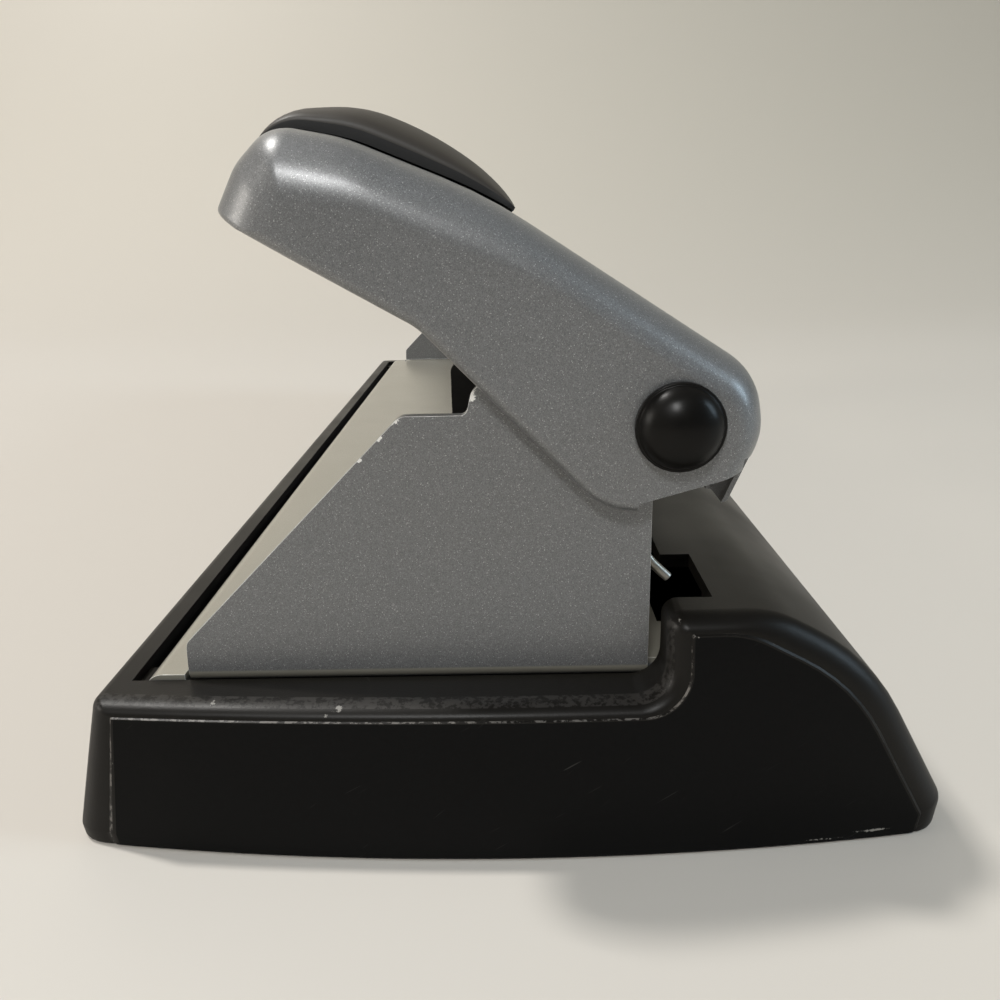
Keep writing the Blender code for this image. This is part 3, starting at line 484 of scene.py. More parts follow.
def make_silver_paint(name, bare_amount, chips=(), painted_light_below=None):
    """Silver-grey metallic paint, through which the bright sheet shows by bare_amount and at the chips.

    Just below the height painted_light_below, on the bed's top that paper slides over, it is painted paler
    and warmer, as painted light from above, and is a little smoother.
    """
    material, make, shader = new_material(name)
    place = make.place()
    flakes = make.group(FLAKES, Vector=place, Flake_Size=0.000095, Tilt=0.40)
    scratches = make.group(SCRATCH, Vector=place, Amount=0.05)["Scratches"]
    patches = make.group(GRAIN, Vector=place, Size=0.0006, Patch_Size=0.03)["Patches"]
    paint = make.mix(flakes["Mottle"], (0.116, 0.119, 0.121), (0.212, 0.216, 0.219))
    paint = make.mix(flakes["Specks"], paint, (0.50, 0.50, 0.49))
    rough = make.ramp(patches, 0.35, 0.65, 0.38, 0.46)
    # Painted light: below this height the bed's top is painted paler and warmer, as light from above would
    # show it.
    if painted_light_below:
        foot = painted_light_below - PAINTED_LIGHT_DEPTH
        height = make.node("ShaderNodeSeparateXYZ", Vector=place).outputs["Z"]
        under_top = make.ramp(height, painted_light_below, painted_light_below - PAINTED_LIGHT_TOP_FADE)
        over_foot = make.ramp(height, foot, foot + PAINTED_LIGHT_FOOT_FADE)
        painted_light = make.maths("MULTIPLY", under_top, over_foot)
        paint = make.mix(painted_light, paint, (0.34, 0.325, 0.272))
        rough = make.maths("MULTIPLY_ADD", painted_light, -0.08, rough)
    bare = None
    if bare_amount > 0:
        bare = make.group(WORN, Vector=place, Amount=bare_amount, Size=0.006)["Bare"]
    if chips:
        chipped = make.marks(place, chips)
        bare = make.maths("MAXIMUM", bare, chipped) if bare else chipped
    if bare:
        paint = make.mix(bare, paint, (0.90, 0.89, 0.86))
        rough = make.maths("MULTIPLY_ADD", bare, -0.06, rough)
        make.feed(shader["Metallic"], make.ramp(bare, 0.0, 1.0, 0.35, 0.20))
    else:
        shader["Metallic"].default_value = 0.35
    make.feed(shader["Base Color"], make.mix(scratches, paint, (0.6, 0.6, 0.58)))
    make.feed(shader["Roughness"], rough)
    make.feed(shader["Normal"], flakes["Normal"])
    shader["Coat Weight"].default_value = 0.60
    shader["Coat Roughness"].default_value = 0.32
    return material


def make_black_plastic(
    name, worn_amount, worn_size=0.005, worn_tone=0.17, nicks=(), blacks=MOULDED_BLACKS, gloss=0.20
):
    """Moulded satin black. worn_amount turns the rubbed lengths grey, on edges and on strips; on the ledge's
    strip it is also a painted sheen.
    """
    material, make, shader = new_material(name)
    place = make.place()
    grain = make.group(GRAIN, Vector=place, Size=0.00030, Patch_Size=0.025)
    scratches = make.group(SCRATCH, Vector=place, Amount=0.35)["Scratches"]
    colour = make.mix(grain["Patches"], *blacks)
    if worn_amount > 0:
        worn = make.group(WORN, Vector=place, Amount=worn_amount, Size=worn_size)["Bare"]
        colour = make.mix(worn, colour, (worn_tone, worn_tone * 0.93, worn_tone * 0.85))
    if nicks:
        colour = make.mix(make.marks(place, nicks), colour, (0.24, 0.23, 0.21))
    make.feed(shader["Base Color"], make.mix(scratches, colour, (0.085, 0.082, 0.076)))
    make.feed(shader["Roughness"], make.ramp(grain["Patches"], 0.3, 0.7, 0.34, 0.44))
    make.feed(shader["Normal"], make.bump(grain["Height"], 0.22, 0.00006))
    shader["Specular IOR Level"].default_value = gloss
    return material


def make_cap_plastic():
    """Polished black of the pivot caps, with a few fine scuffs."""
    material, make, shader = new_material("cap_plastic")
    place = make.place()
    grain = make.group(GRAIN, Vector=place, Size=0.0004, Patch_Size=0.006)
    scratches = make.group(SCRATCH, Vector=place, Amount=0.22)["Scratches"]
    colour = make.mix(grain["Patches"], (0.0040, 0.0037, 0.0033), (0.0066, 0.0060, 0.0052))
    make.feed(shader["Base Color"], make.mix(scratches, colour, (0.12, 0.12, 0.115)))
    make.feed(shader["Roughness"], make.ramp(grain["Patches"], 0.3, 0.7, 0.28, 0.38))
    make.feed(shader["Normal"], make.bump(grain["Height"], 0.10, 0.00003))
    shader["Specular IOR Level"].default_value = 0.14
    return material


def make_pad_rubber(name, painted_sheen):
    """Smooth black grip: painted_sheen is how far its faces are painted brown-grey, a painted sheen of light
    on the grip.
    """
    material, make, shader = new_material(name)
    place = make.place()
    grain = make.group(GRAIN, Vector=place, Size=0.0003, Patch_Size=0.02)
    scratches = make.group(SCRATCH, Vector=place, Amount=0.25)["Scratches"]
    # Painted sheen: the grip's black is painted brown-grey by this share.
    low = (0.005 + painted_sheen * 0.016, 0.005 + painted_sheen * 0.0128, 0.005 + painted_sheen * 0.0090)
    high = (0.007 + painted_sheen * 0.028, 0.007 + painted_sheen * 0.0222, 0.007 + painted_sheen * 0.0155)
    colour = make.mix(grain["Patches"], low, high)
    make.feed(shader["Base Color"], make.mix(scratches, colour, (0.06, 0.056, 0.05)))
    make.feed(shader["Roughness"], make.ramp(grain["Patches"], 0.3, 0.7, 0.42, 0.52))
    make.feed(shader["Normal"], make.bump(grain["Height"], 0.16, 0.00005))
    return material


def make_black_coat(name, worn_amount):
    """Thin black coat on the cast heads, rubbed to metal at their edges."""
    material, make, shader = new_material(name)
    place = make.place()
    grain = make.group(GRAIN, Vector=place, Size=0.0007, Patch_Size=0.012)
    colour = make.mix(grain["Patches"], (0.010, 0.0095, 0.009), (0.020, 0.019, 0.018))
    if worn_amount > 0:
        bare = make.group(WORN, Vector=place, Amount=worn_amount, Size=0.003)["Bare"]
        colour = make.mix(bare, colour, (0.34, 0.33, 0.31))
        make.feed(shader["Metallic"], bare)
    make.feed(shader["Base Color"], colour)
    make.feed(shader["Roughness"], make.ramp(grain["Height"], 0.3, 0.7, 0.40, 0.54))
    make.feed(shader["Normal"], make.bump(grain["Height"], 0.35, 0.0001))
    return material


def make_steel(name, colour, roughness, drawn=(1.0, 1.0, 1.0)):
    """Bright steel with drawing or grinding lines; drawn is the grain's stretch along X, Y and Z."""
    material, make, shader = new_material(name)
    place = make.place()
    lines = make.noise(make.stretched(place, drawn), 2600.0, 3.0, 0.6)
    patches = make.group(GRAIN, Vector=place, Size=0.0005, Patch_Size=0.006)["Patches"]
    dull = (colour[0] * 0.62, colour[1] * 0.60, colour[2] * 0.56)
    make.feed(shader["Base Color"], make.mix(make.ramp(patches, 0.40, 0.72), colour, dull))
    make.feed(shader["Roughness"], make.ramp(lines, 0.3, 0.7, roughness * 0.8, roughness * 1.25))
    make.feed(shader["Normal"], make.bump(lines, 0.12, 0.00003))
    shader["Metallic"].default_value = 1.0
    return material


def make_nylon():
    """Plain grey nylon of the washers."""
    material, make, shader = new_material("grey_nylon")
    grain = make.group(GRAIN, Vector=make.place(), Size=0.0004, Patch_Size=0.006)
    make.feed(shader["Base Color"], make.mix(grain["Patches"], (0.06, 0.06, 0.06), (0.10, 0.10, 0.10)))
    make.feed(shader["Normal"], make.bump(grain["Height"], 0.15, 0.00005))
    shader["Roughness"].default_value = 0.5
    return material


SILVER = make_silver_paint("silver_paint", 0.0)
SILVER_EDGE = make_silver_paint("silver_paint_edge", 0.75)
BED_SILVER = make_silver_paint("silver_paint_bed", 0.0, PAINT_CHIPS, PAINTED_LIGHT_LIMIT)
BED_EDGE = make_silver_paint("silver_paint_bed_edge", 0.85, PAINT_CHIPS)
PLASTIC = make_black_plastic("black_plastic", 0.0, nicks=TRAY_NICKS)
PLASTIC_EDGE = make_black_plastic("black_plastic_edge", 0.40)
PLASTIC_LINE = make_black_plastic("black_plastic_panel_rim", 0.48, 0.0012, 0.13)
# Rubbed lengths on the ledge's rounded edge, also painted paler as a painted sheen of light.
PLASTIC_WORN_AND_SHEEN = make_black_plastic("black_plastic_worn_and_sheen", 0.55, 0.0008, 0.030, TRAY_NICKS)
# The end panels' black is painted darker, a painted shade on the end faces.
PLASTIC_PANEL = make_black_plastic("black_plastic_panel", 0.0, 0.005, 0.17, TRAY_NICKS, PANEL_SHADED_BLACKS, 0.09)
CAP_PLASTIC = make_cap_plastic()
# The grip's faces carry the painted sheen; its end faces stay plain black.
RUBBER = make_pad_rubber("pad_rubber", 1.0)
RUBBER_END = make_pad_rubber("pad_rubber_end", 0.0)
HEAD_COAT = make_black_coat("black_head", 0.0)
HEAD_EDGE = make_black_coat("black_head_edge", 0.4)
PIN_STEEL = make_steel("pin_steel", (0.62, 0.61, 0.58), 0.22, (1.0, 1.0, 0.06))
ROD_STEEL = make_steel("rod_steel", (0.60, 0.59, 0.56), 0.26, (1.0, 0.05, 1.0))
SHEET_STEEL = make_steel("sheet_steel", (0.55, 0.54, 0.51), 0.34, (1.0, 0.04, 1.0))
SPRING_STEEL = make_steel("spring_steel", (0.40, 0.385, 0.35), 0.42)
SCREW_STEEL = make_steel("screw_zinc", (0.58, 0.57, 0.52), 0.34)
NYLON = make_nylon()


# Sizes of the tray and the bed

HALF_WIDTH = 0.0563
HALF_LENGTH = 0.151
LEDGE = 0.0198
HUMP = 0.0305
HUMP_FACE = 0.0204
WALL = 0.002
RIM_INNER = WALL - HALF_WIDTH * 0.915
FRONT_BULGE = 0.0006
BED_TOP = 0.0204
BED_END = 0.142
SHEET = 0.0016
GAP = 0.0003
# The tray's end faces: how far their foot stands out past the ledge. At END_FALL_X from the middle they have
# fallen back by END_FALL at the foot, and by END_FALL_LOSS less at the height of the ledge.
END_FLARE = 0.0030
END_FALL = 0.0027
END_FALL_LOSS = 0.00105
END_FALL_X = 0.043
END_RADIUS = 0.0030
# The panel on an end face: how far it stands proud, and how far in its flat, its edge and its foot lie.
PANEL_HEIGHT = 0.00028
PANEL_FLAT = 0.00375
PANEL_EDGE = 0.00350
PANEL_FOOT = 0.00326
# How far the front and back feet lean in at the panel's edge.
FOOT_LEAN = 0.0019
# Openings in the tray for the bed and its brackets, by their places along Y, and one depth.
SEAT_START = 0.132
SEAT_END = BED_END + GAP
POCKET_START = 0.1265
POCKET_DEPTH = 0.0065
NOTCH_START = 0.108
NOTCH_END = 0.13425
UNDERCUT_END = 0.1456
CHIP_SPACE_END = 0.136
# The height that the tools reach for cuts that are open at the top.
ABOVE = 0.08
# How far each face of the tray is drawn in at the ends, in the order of its corners.
TRAY_END_SHARES = (0.12, 1.0, 1.1, 1.0, 0.6, 0.8, 0.5, 1.0, 1.0)
# Places of the tray's finishes in its list.
PLAIN, EDGE, LINE, WORN_AND_SHEEN, PANEL = range(5)


# Sizes of the handle, the pad, the rod and the springs

PIVOT = Vector(next(joint["pos_m"] for joint in frame["joints"] if joint["name"] == "handle_press"))
HANDLE_REACH = 0.0543
HANDLE_WALL = 0.0016
HANDLE_END_RADIUS = 0.0080
HANDLE_ARC_STEP = math.radians(5)
# Where the rings of a rounded end lie, as shares of its radius back from its tip.
HANDLE_RING_SHARES = (0.0, 0.004, 0.015, 0.035, 0.065, 0.1, 0.15, 0.21, 0.3, 0.4, 0.52, 0.66, 0.82, 1.0)
# How fast the end walls curve back towards the nose, per metre, beyond this share of the reach.
HANDLE_NOSE_BULGE = 10.0
HANDLE_NOSE_SHARE = 0.76
# How far each face is drawn in at the ends, from the rear flange over the top to the nose.
HANDLE_END_SHARES = (0.50, 0.55, 0.60, 0.85, 1.0, 0.95, 0.9)
# The thickness left at the flange's ends, and over what length.
FLANGE_THIN = 0.0009
FLANGE_THIN_RUN = 0.006
# How far a tool or an opened section runs on past the handle.
BEYOND = 0.05
# The pad: its half length, how far its ends slope, its upright edge and its crown above that.
PAD_HALF_LENGTH = 0.133
PAD_END_SLOPE = 0.0126
PAD_EDGE = 0.0013
PAD_CROWN = 0.0033
# Its front and back, in front of the pivot, as shares of the handle's reach.
PAD_FRONT_SHARE = 0.928
PAD_BACK_SHARE = 0.355
# The rod, the places of the pins, and the wires of the pin springs and of the handle's torsion springs.
ROD_RADIUS = 0.0030
HOLE_SPACING = 0.108
PIN_X = 0.0010
PIN_WIRE = 0.0010
PIN_COIL_RADIUS = 0.0046
PIN_COIL_TURNS = 7
LEG_WIRE = 0.0013
LEG_DROP = 0.0215
LEG_LENGTH = 0.0170
# The bend between a torsion spring's lower leg and its coil: shares of the coil's radius, and rises in wires.
LEG_BEND_SHARES = ((0.40, 1.45), (0.76, 2.9), (0.94, 4.1), (1.0, 5.4))
# Widths of the small rounds on edges.
TRAY_ROUND = 0.00028
BED_ROUND = 0.00030
HANDLE_ROUND = 0.00022
PAD_ROUND = 0.00035
HEAD_ROUND = 0.00030
CAP_ROUND = 0.00020
PRESSER_ROUND = 0.00030
ROD_ROUND = 0.00040
DIE_ROUND = 0.00020
SMALL_ROUND = 0.00012


# Pieces

def tray_corners():
    """Section of the tray, anticlockwise from the front foot: front wall, ledge, hump and rounded back."""
    half, face = HALF_WIDTH, HUMP_FACE
    hump = half - face
    return [
        (half * -0.992 - FRONT_BULGE, 0.0, hump * 0.02),
        (face + hump * 1.000, 0.0, hump * 0.03),
        (face + hump * 1.024, LEDGE * 0.20, hump * 0.06),
        (face + hump * 0.728, HUMP * 0.776, hump * 0.78),
        (face + hump * 0.369, HUMP, hump * 0.38),
        (face, HUMP, hump * 0.056),
        (face, LEDGE, hump * 0.114),
        (half * -0.930 - FRONT_BULGE, LEDGE, hump * 0.044),
        (-half - FRONT_BULGE, LEDGE * 0.09, hump * 0.045),
    ]


def tray_ring(inset, back):
    """One ring of the tray's outside: its section moved in by inset, this far back from its bulged end."""
    corners = tray_corners()
    counts = side_counts(rounded(corners), HALF_WIDTH * 0.08)
    inward = moved_in(corners, [inset * share for share in TRAY_END_SHARES])
    lean = FOOT_LEAN * (inset / PANEL_EDGE) ** 2
    for foot in (0, -1):
        x, z, radius = inward[foot]
        inward[foot] = (x + lean, z, radius)
    places = []
    for point in divided(rounded(inward), counts):
        rise = point.y / LEDGE
        fall = END_FALL - END_FALL_LOSS * rise
        end = HALF_LENGTH + END_FLARE * (1 - rise) - fall * (point.x / END_FALL_X) ** 2
        places.append(Vector((point.x, end - back, point.y)))
    return places


def tray_outside():
    """The moulding's outside, with a proud panel on each end.

    The panel's rim is rubbed in front of the hump, and the ledge's rounded edge there is rubbed and painted
    paler as a painted sheen.
    """
    proud = -PANEL_HEIGHT
    stations = [(PANEL_FLAT, proud), (PANEL_EDGE, proud), (PANEL_FOOT, 0.0), (END_RADIUS, 0.0)]
    border_row = 1
    first_worn_and_sheen_row = 8
    for degrees in range(9, 91, 9):
        swing = math.radians(degrees)
        stations.append((END_RADIUS * (1 - math.sin(swing)), END_RADIUS * (1 - math.cos(swing))))
    rings = [tray_ring(inset, back) for inset, back in stations]
    near = [[Vector((place.x, -place.y, place.z)) for place in ring] for ring in rings]
    outer = rings[-1]

    def paint(row, index):
        row = min(row, 2 * len(near) - 2 - row)
        place = outer[index]
        if row == border_row:
            return LINE if place.x < HUMP_FACE * 1.12 else PLAIN
        # The ledge's rounded edge in front of the hump is rubbed and carries a painted sheen.
        on_ledge = place.z > LEDGE * 0.97 and place.x < HUMP_FACE * 1.02
        return WORN_AND_SHEEN if on_ledge and first_worn_and_sheen_row <= row < len(near) - 1 else PLAIN

    finish = [PLASTIC, PLASTIC_EDGE, PLASTIC_LINE, PLASTIC_WORN_AND_SHEEN, PLASTIC_PANEL]
    return loft("chip_tray", near + rings[::-1], finish, paint, 30, PANEL)


def tray_inside():
    """The chip space, with the hump hollow above it and open between the rims."""
    hump, face, wall = HALF_WIDTH - HUMP_FACE - WALL, HUMP_FACE, WALL
    corners = [
        (wall * 1.3 - HALF_WIDTH, wall, wall / 2),
        (face + hump * 0.975, wall, wall / 2),
        (face + hump * 1.003, LEDGE * 0.23, wall),
        (face + hump * 0.719, HUMP * 0.742, hump * 0.74),
        (face + hump * 0.362, HUMP - wall, hump * 0.34),
        (face + wall, HUMP - wall, 0.0),
        (face + wall, LEDGE * 0.83, 0.0),
        (face + GAP / 2, LEDGE * 0.83, 0.0),
        (face + GAP / 2, ABOVE, 0.0),
        (RIM_INNER, ABOVE, 0.0),
        (RIM_INNER, LEDGE * 0.9, 0.0),
    ]
    return slab("tray_inside", rounded(corners), -CHIP_SPACE_END, CHIP_SPACE_END, [PLASTIC])


def make_tray():
    """The moulding with its inside and its openings cut out, near and far alike."""
    tray = tray_outside()
    cut(tray, tray_inside())
    face, top = HUMP_FACE, BED_TOP - SHEET - GAP
    undercut_x = face + (HALF_WIDTH - face) * 0.69
    plans = [
        ("seat", SEAT_START, SEAT_END, RIM_INNER, face + GAP / 2, top, ABOVE),
        ("pocket", POCKET_START, SEAT_END, face - GAP, face + POCKET_DEPTH, LEDGE / 2, ABOVE),
        ("notch", NOTCH_START, NOTCH_END, face - GAP, face + WALL + GAP, LEDGE / 2, ABOVE),
        ("under", SEAT_START, UNDERCUT_END, RIM_INNER - GAP, undercut_x, WALL, top - WALL),
    ]
    for side in (-1, 1):
        for name, start, end, low_x, high_x, low_z, high_z in plans:
            across = sorted((side * start, side * end))
            cut(tray, block(name, (low_x, across[0], low_z), (high_x, across[1], high_z), [PLASTIC]))
    smooth(tray, 30)
    crisp(tray, TRAY_ROUND, 3, 40, EDGE)
    settle(tray, "tray", "black_plastic", "base_tray")


def make_bed():
    """The bent sheet, whose rounded edges are rubbed bare in places."""
    bed = whole_copy("bed_plate", "bed_and_brackets", [BED_SILVER, BED_EDGE])
    crisp(bed, BED_ROUND, 2, 28, 1)
    settle(bed, "punch_frame", "silver_paint", "bed_plate")


def handle_corners():
    """Section of the handle's outside, anticlockwise from the nose lip along the end walls' lower edge."""
    corner_shares = [
        (-1.0, 0.466, 0.015),
        (-0.564, 0.219, 0.150),
        (-0.160, -0.197, 0.166),
        (0.138, -0.204, 0.015),
        (0.212, -0.034, 0.150),
        (0.190, 0.098, 0.155),
        (-0.411, 0.488, 1.1),
        (-0.714, 0.612, 0.42),
        (-0.868, 0.641, 0.100),
        (-0.950, 0.561, 0.150),
    ]
    reach = HANDLE_REACH
    return [(PIVOT.x + reach * x, PIVOT.z + reach * z, reach * radius) for x, z, radius in corner_shares]


def opened_below(corners):
    """The handle's section with its lip and its flange carried on downwards, in place of its lower edge."""
    lip, foot = (Vector(corners[index][:2]) for index in (0, 3))
    nose, back = (Vector(corners[index][:2]) for index in (-1, 4))
    return [
        (*(nose + (lip - nose).normalized() * BEYOND), 0.0),
        (*(back + (foot - back).normalized() * BEYOND), 0.0),
        *corners[4:],
    ]


def handle_rings(half_length, wall, radius):
    """Rings of the handle's outside, or of its inside where wall is set: each end is drawn in on an arc.

    Outside, the end walls' lower edge turns in on a small arc of its own.
    """
    corners = handle_corners()
    counts = side_counts(rounded(corners, HANDLE_ARC_STEP), HANDLE_REACH * 0.05)
    turned = HANDLE_WALL * 0.85
    grip_end = PIVOT.x - HANDLE_REACH * HANDLE_NOSE_SHARE
    near = []
    for back_share in HANDLE_RING_SHARES:
        back = radius * back_share
        inset = radius - math.sqrt(radius ** 2 - (radius - back) ** 2)
        low = 0.0 if wall or back >= turned else turned - math.sqrt(turned ** 2 - (turned - back) ** 2)
        moved = moved_in(corners, [low] * 3 + [wall + inset * share for share in HANDLE_END_SHARES])
        points = rounded(opened_below(moved) if wall else moved, HANDLE_ARC_STEP)
        if not wall:
            points = divided(points, counts)
        bulge = HANDLE_NOSE_BULGE * (1 - back_share)
        places = []
        for point in points:
            beyond = max(0.0, grip_end - point.x)
            places.append(Vector((point.x, half_length - back - beyond ** 2 * bulge, point.y)))
        near.append(places)
    return [[Vector((p.x, -p.y, p.z)) for p in places] for places in near] + near[::-1]


def circle(centre, radius, sides=40):
    """Points of a circle in X and Z."""
    points = []
    for side in range(sides):
        turn = math.tau * side / sides
        points.append(Vector((centre.x + radius * math.cos(turn), centre.z + radius * math.sin(turn))))
    return points


def trim_flange(handle, half_length, finish):
    """Cuts the rear flange short at each end, slants its corner there and makes what is left thinner."""
    reach = HANDLE_REACH
    low_x, flange_x = PIVOT.x - reach * 0.085, PIVOT.x + reach * 0.150
    flange_z = PIVOT.z - reach * 0.083
    corners = [
        (low_x, PIVOT.z - BEYOND, 0.0),
        (PIVOT.x + BEYOND, PIVOT.z - BEYOND, 0.0),
        (PIVOT.x + BEYOND, flange_z, 0.0),
        (flange_x, flange_z, 0.0),
        (flange_x, PIVOT.z - reach * 0.112, 0.0),
        (low_x, PIVOT.z - reach * 0.177, 0.0),
    ]
    foot, bend = (Vector(handle_corners()[index][:2]) for index in (3, 4))
    kept = Vector((-(bend - foot).y, (bend - foot).x)).normalized() * FLANGE_THIN
    upper = foot.lerp(bend, 0.50)
    thinned = [foot * 2 - bend + kept, upper + kept, upper + kept * 6, foot + kept * 6]
    flange_end = half_length - HANDLE_WALL * 3.1
    for side, label in ((-1, "near"), (1, "far")):
        across = sorted((side * flange_end, side * (half_length + HANDLE_WALL)))
        cut(handle, slab("trim_" + label, rounded(corners), *across, finish))
        across = sorted((side * (flange_end - FLANGE_THIN_RUN), side * (flange_end + HANDLE_WALL)))
        cut(handle, slab("thinning_" + label, thinned, *across, finish))


def make_handle():
    """The pressed shell: the same section as the CAD handle, with finer and wider rounds at its ends."""
    radius, wall = HANDLE_END_RADIUS, HANDLE_WALL
    half_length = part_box("handle")[1].y
    finish = [SILVER, SILVER_EDGE]
    handle = loft("handle_shell", handle_rings(half_length, 0.0, radius), finish)
    cut(handle, loft("handle_inside", handle_rings(half_length - wall, wall, radius - wall), finish))
    trim_flange(handle, half_length, finish)
    hole, past_end = circle(PIVOT, ROD_RADIUS + GAP), half_length + wall
    cut(handle, slab("rod_hole", hole, -past_end, past_end, finish))
    smooth(handle, 32)
    crisp(handle, HANDLE_ROUND, 2, 40, 1)
    settle(handle, "handle", "silver_paint", "handle")


def handle_top_run(low_x, high_x, shares):
    """Points on the handle's top between two X places, each with its outward direction and its share."""
    arcs = corner_arcs(handle_corners(), math.radians(1))[5:]
    top = [point for arc in arcs for point in arc][::-1]
    run = []
    for share in shares:
        x = low_x + (high_x - low_x) * share
        for first, second in zip(top, top[1:]):
            if first.x <= x <= second.x:
                slope = (second - first).normalized()
                z = first.y + (second.y - first.y) * (x - first.x) / (second.x - first.x)
                run.append((Vector((x, z)), Vector((-slope.y, slope.x)), share))
                break
    return run


def make_pad():
    """The crowned grip: a low upright edge all round, and a top that swells from it."""
    steps, end_steps = 48, 14
    shares = [(1 - math.cos(math.pi * step / steps)) / 2 for step in range(steps + 1)]
    front_x, back_x = PIVOT.x - HANDLE_REACH * PAD_FRONT_SHARE, PIVOT.x - HANDLE_REACH * PAD_BACK_SHARE
    run = handle_top_run(front_x, back_x, shares)
    near = []
    for step in range(end_steps + 1):
        back = 1 - math.cos(math.pi / 2 * step / end_steps)
        fullness = math.sin(math.pi / 2 * back) ** 0.42 if back else 0.0
        near.append((PAD_HALF_LENGTH - PAD_END_SLOPE * back, fullness))
    rings = []
    for y, fullness in [(-y, fullness) for y, fullness in near] + near[::-1]:
        lower, upper = [], []
        for place, normal, share in run:
            crown = math.sin(math.pi * share ** 0.93) ** 0.68 if 0 < share < 1 else 0.0
            edge = PAD_EDGE * (0.30 + 0.70 * crown)
            lower.append(place + normal * GAP)
            upper.append(place + normal * (GAP + edge + PAD_CROWN * crown * fullness))
        rings.append([Vector((point.x, y, point.y)) for point in lower + upper[::-1]])
    pad = loft("grip_pad", rings, [RUBBER, RUBBER_END], None, 50, 1)
    crisp(pad, PAD_ROUND, 3, 50)
    settle(pad, "handle", "black_rubber", "handle_pad")


def make_heads():
    """The three cast heads, rubbed at their edges."""
    for number in (1, 2, 3):
        head = whole_copy(f"punch_head_{number}", f"head_casting_{number}", [HEAD_COAT, HEAD_EDGE])
        crisp(head, HEAD_ROUND, 2, 30, 1)
        settle(head, "punch_frame", "black_head", f"punch_head_{number}")


def make_small_steel():
    """Pins, clips, dies, screws, the rod and the presser, each with its own steel and small rounds."""
    plans = [
        ("presser_bar", "handle", SHEET_STEEL, PRESSER_ROUND),
        ("pivot_rod", "punch_frame", ROD_STEEL, ROD_ROUND),
    ]
    for number in (1, 2, 3):
        plans.append((f"punch_pin_{number}", f"pin_{number}", PIN_STEEL, SMALL_ROUND))
        plans.append((f"pin_clip_{number}", f"pin_{number}", SPRING_STEEL, SMALL_ROUND))
        plans.append((f"punch_die_{number}", "punch_frame", PIN_STEEL, DIE_ROUND))
    for number in range(1, 7):
        plans.append((f"head_screw_{number}", "punch_frame", SCREW_STEEL, SMALL_ROUND))
    for node, body, steel, width in plans:
        piece = whole_copy(node, node + "_ground", [steel])
        crisp(piece, width, 2, 30)
        settle(piece, body, "bright_steel", node)


def make_caps():
    """At each end, the domed cap and the washer between bracket and handle."""
    for end in ("near", "far"):
        cap = whole_copy("pivot_cap_" + end, "cap_dome_" + end, [CAP_PLASTIC])
        crisp(cap, CAP_ROUND, 2, 35)
        settle(cap, "punch_frame", "black_plastic", "pivot_cap_" + end)
        spacer = whole_copy("pivot_spacer_" + end, "washer_" + end, [NYLON])
        crisp(spacer, CAP_ROUND, 2, 35)
        settle(spacer, "punch_frame", "grey_nylon", "pivot_spacer_" + end)


def pin_spring_run(x, y, low, high):
    """A compression spring's path between two heights, its last turn at each end laid closed."""
    rise = PIN_WIRE * 1.45
    per_turn = 24
    points = []
    for step in range((PIN_COIL_TURNS + 2) * per_turn + 1):
        turn = step / per_turn
        if turn < 1:
            z = low + rise * turn
        elif turn > PIN_COIL_TURNS + 1:
            z = high - rise * (PIN_COIL_TURNS + 2 - turn)
        else:
            z = low + rise + (high - low - 2 * rise) * (turn - 1) / PIN_COIL_TURNS
        across, along = math.cos(math.tau * turn), math.sin(math.tau * turn)
        points.append((x + PIN_COIL_RADIUS * across, y + PIN_COIL_RADIUS * along, z))
    return points


def handle_spring_run(side):
    """The torsion spring's path: toe, leg down the bracket, coil round the rod and leg under the handle."""
    size = LEG_WIRE
    coil = ROD_RADIUS + size / 2 + GAP * 2
    start_y = side * (BED_END - SHEET - GAP - size / 2)
    toe_z = PIVOT.z - LEG_DROP
    points = [(PIVOT.x + size * 0.2, start_y, toe_z)]
    for reach, rise in LEG_BEND_SHARES:
        points.append((PIVOT.x - coil * reach, start_y, toe_z + size * rise))
    leaving = math.radians(220)
    turns = 4 + (math.pi - leaving) / math.tau
    steps = round(turns * 28)
    for step in range(steps + 1):
        turn = turns * step / steps
        angle = math.pi - math.tau * turn
        x, z = PIVOT.x + coil * math.cos(angle), PIVOT.z + coil * math.sin(angle)
        points.append((x, start_y - side * (size + GAP * 2) * turn, z))
    heading = leaving - math.pi / 2
    along = Vector((math.cos(heading), 0.0, math.sin(heading)))
    points.append(tuple(Vector(points[-1]) + along * LEG_LENGTH))
    return points


def make_springs():
    """The three pin springs, each with a mesh of its own, and the two torsion springs."""
    for number in (1, 2, 3):
        low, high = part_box(f"punch_spring_{number}")
        x, y = PIN_X, (number - 2) * HOLE_SPACING
        points = pin_spring_run(x, y, low.z + PIN_WIRE / 2, high.z - PIN_WIRE / 2)
        spring = wire(f"pin_coil_{number}", points, PIN_WIRE, [SPRING_STEEL])
        settle(spring, "punch_frame", "bright_steel", f"punch_spring_{number}")
        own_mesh(spring)
    for side, end in ((-1, "near"), (1, "far")):
        spring = wire("handle_coil_" + end, handle_spring_run(side), LEG_WIRE, [SPRING_STEEL])
        settle(spring, "punch_frame", "bright_steel", "handle_spring_" + end)


# Floor, light and camera

# The sweep from the table up to the wall: where it starts, its radius and its steps.
SWEEP_START = 0.45
SWEEP_RADIUS = 0.95
SWEEP_STEPS = 16
LAMP_TARGET = Vector((0.0, 0.0, 0.03))
# The photograph's side and its lens's focal length in pixels, and the sensor's width in millimetres.
PHOTO_PIXELS = 1000.0
FOCAL_PIXELS = 925.0
SENSOR = 36.0
CAMERA_PLACE = Vector((0.0011, -0.25256, 0.0776))
CAMERA_PITCH = math.radians(16.95)
CAMERA_YAW = math.radians(0.64)
CAMERA_ROLL = math.radians(1.18)


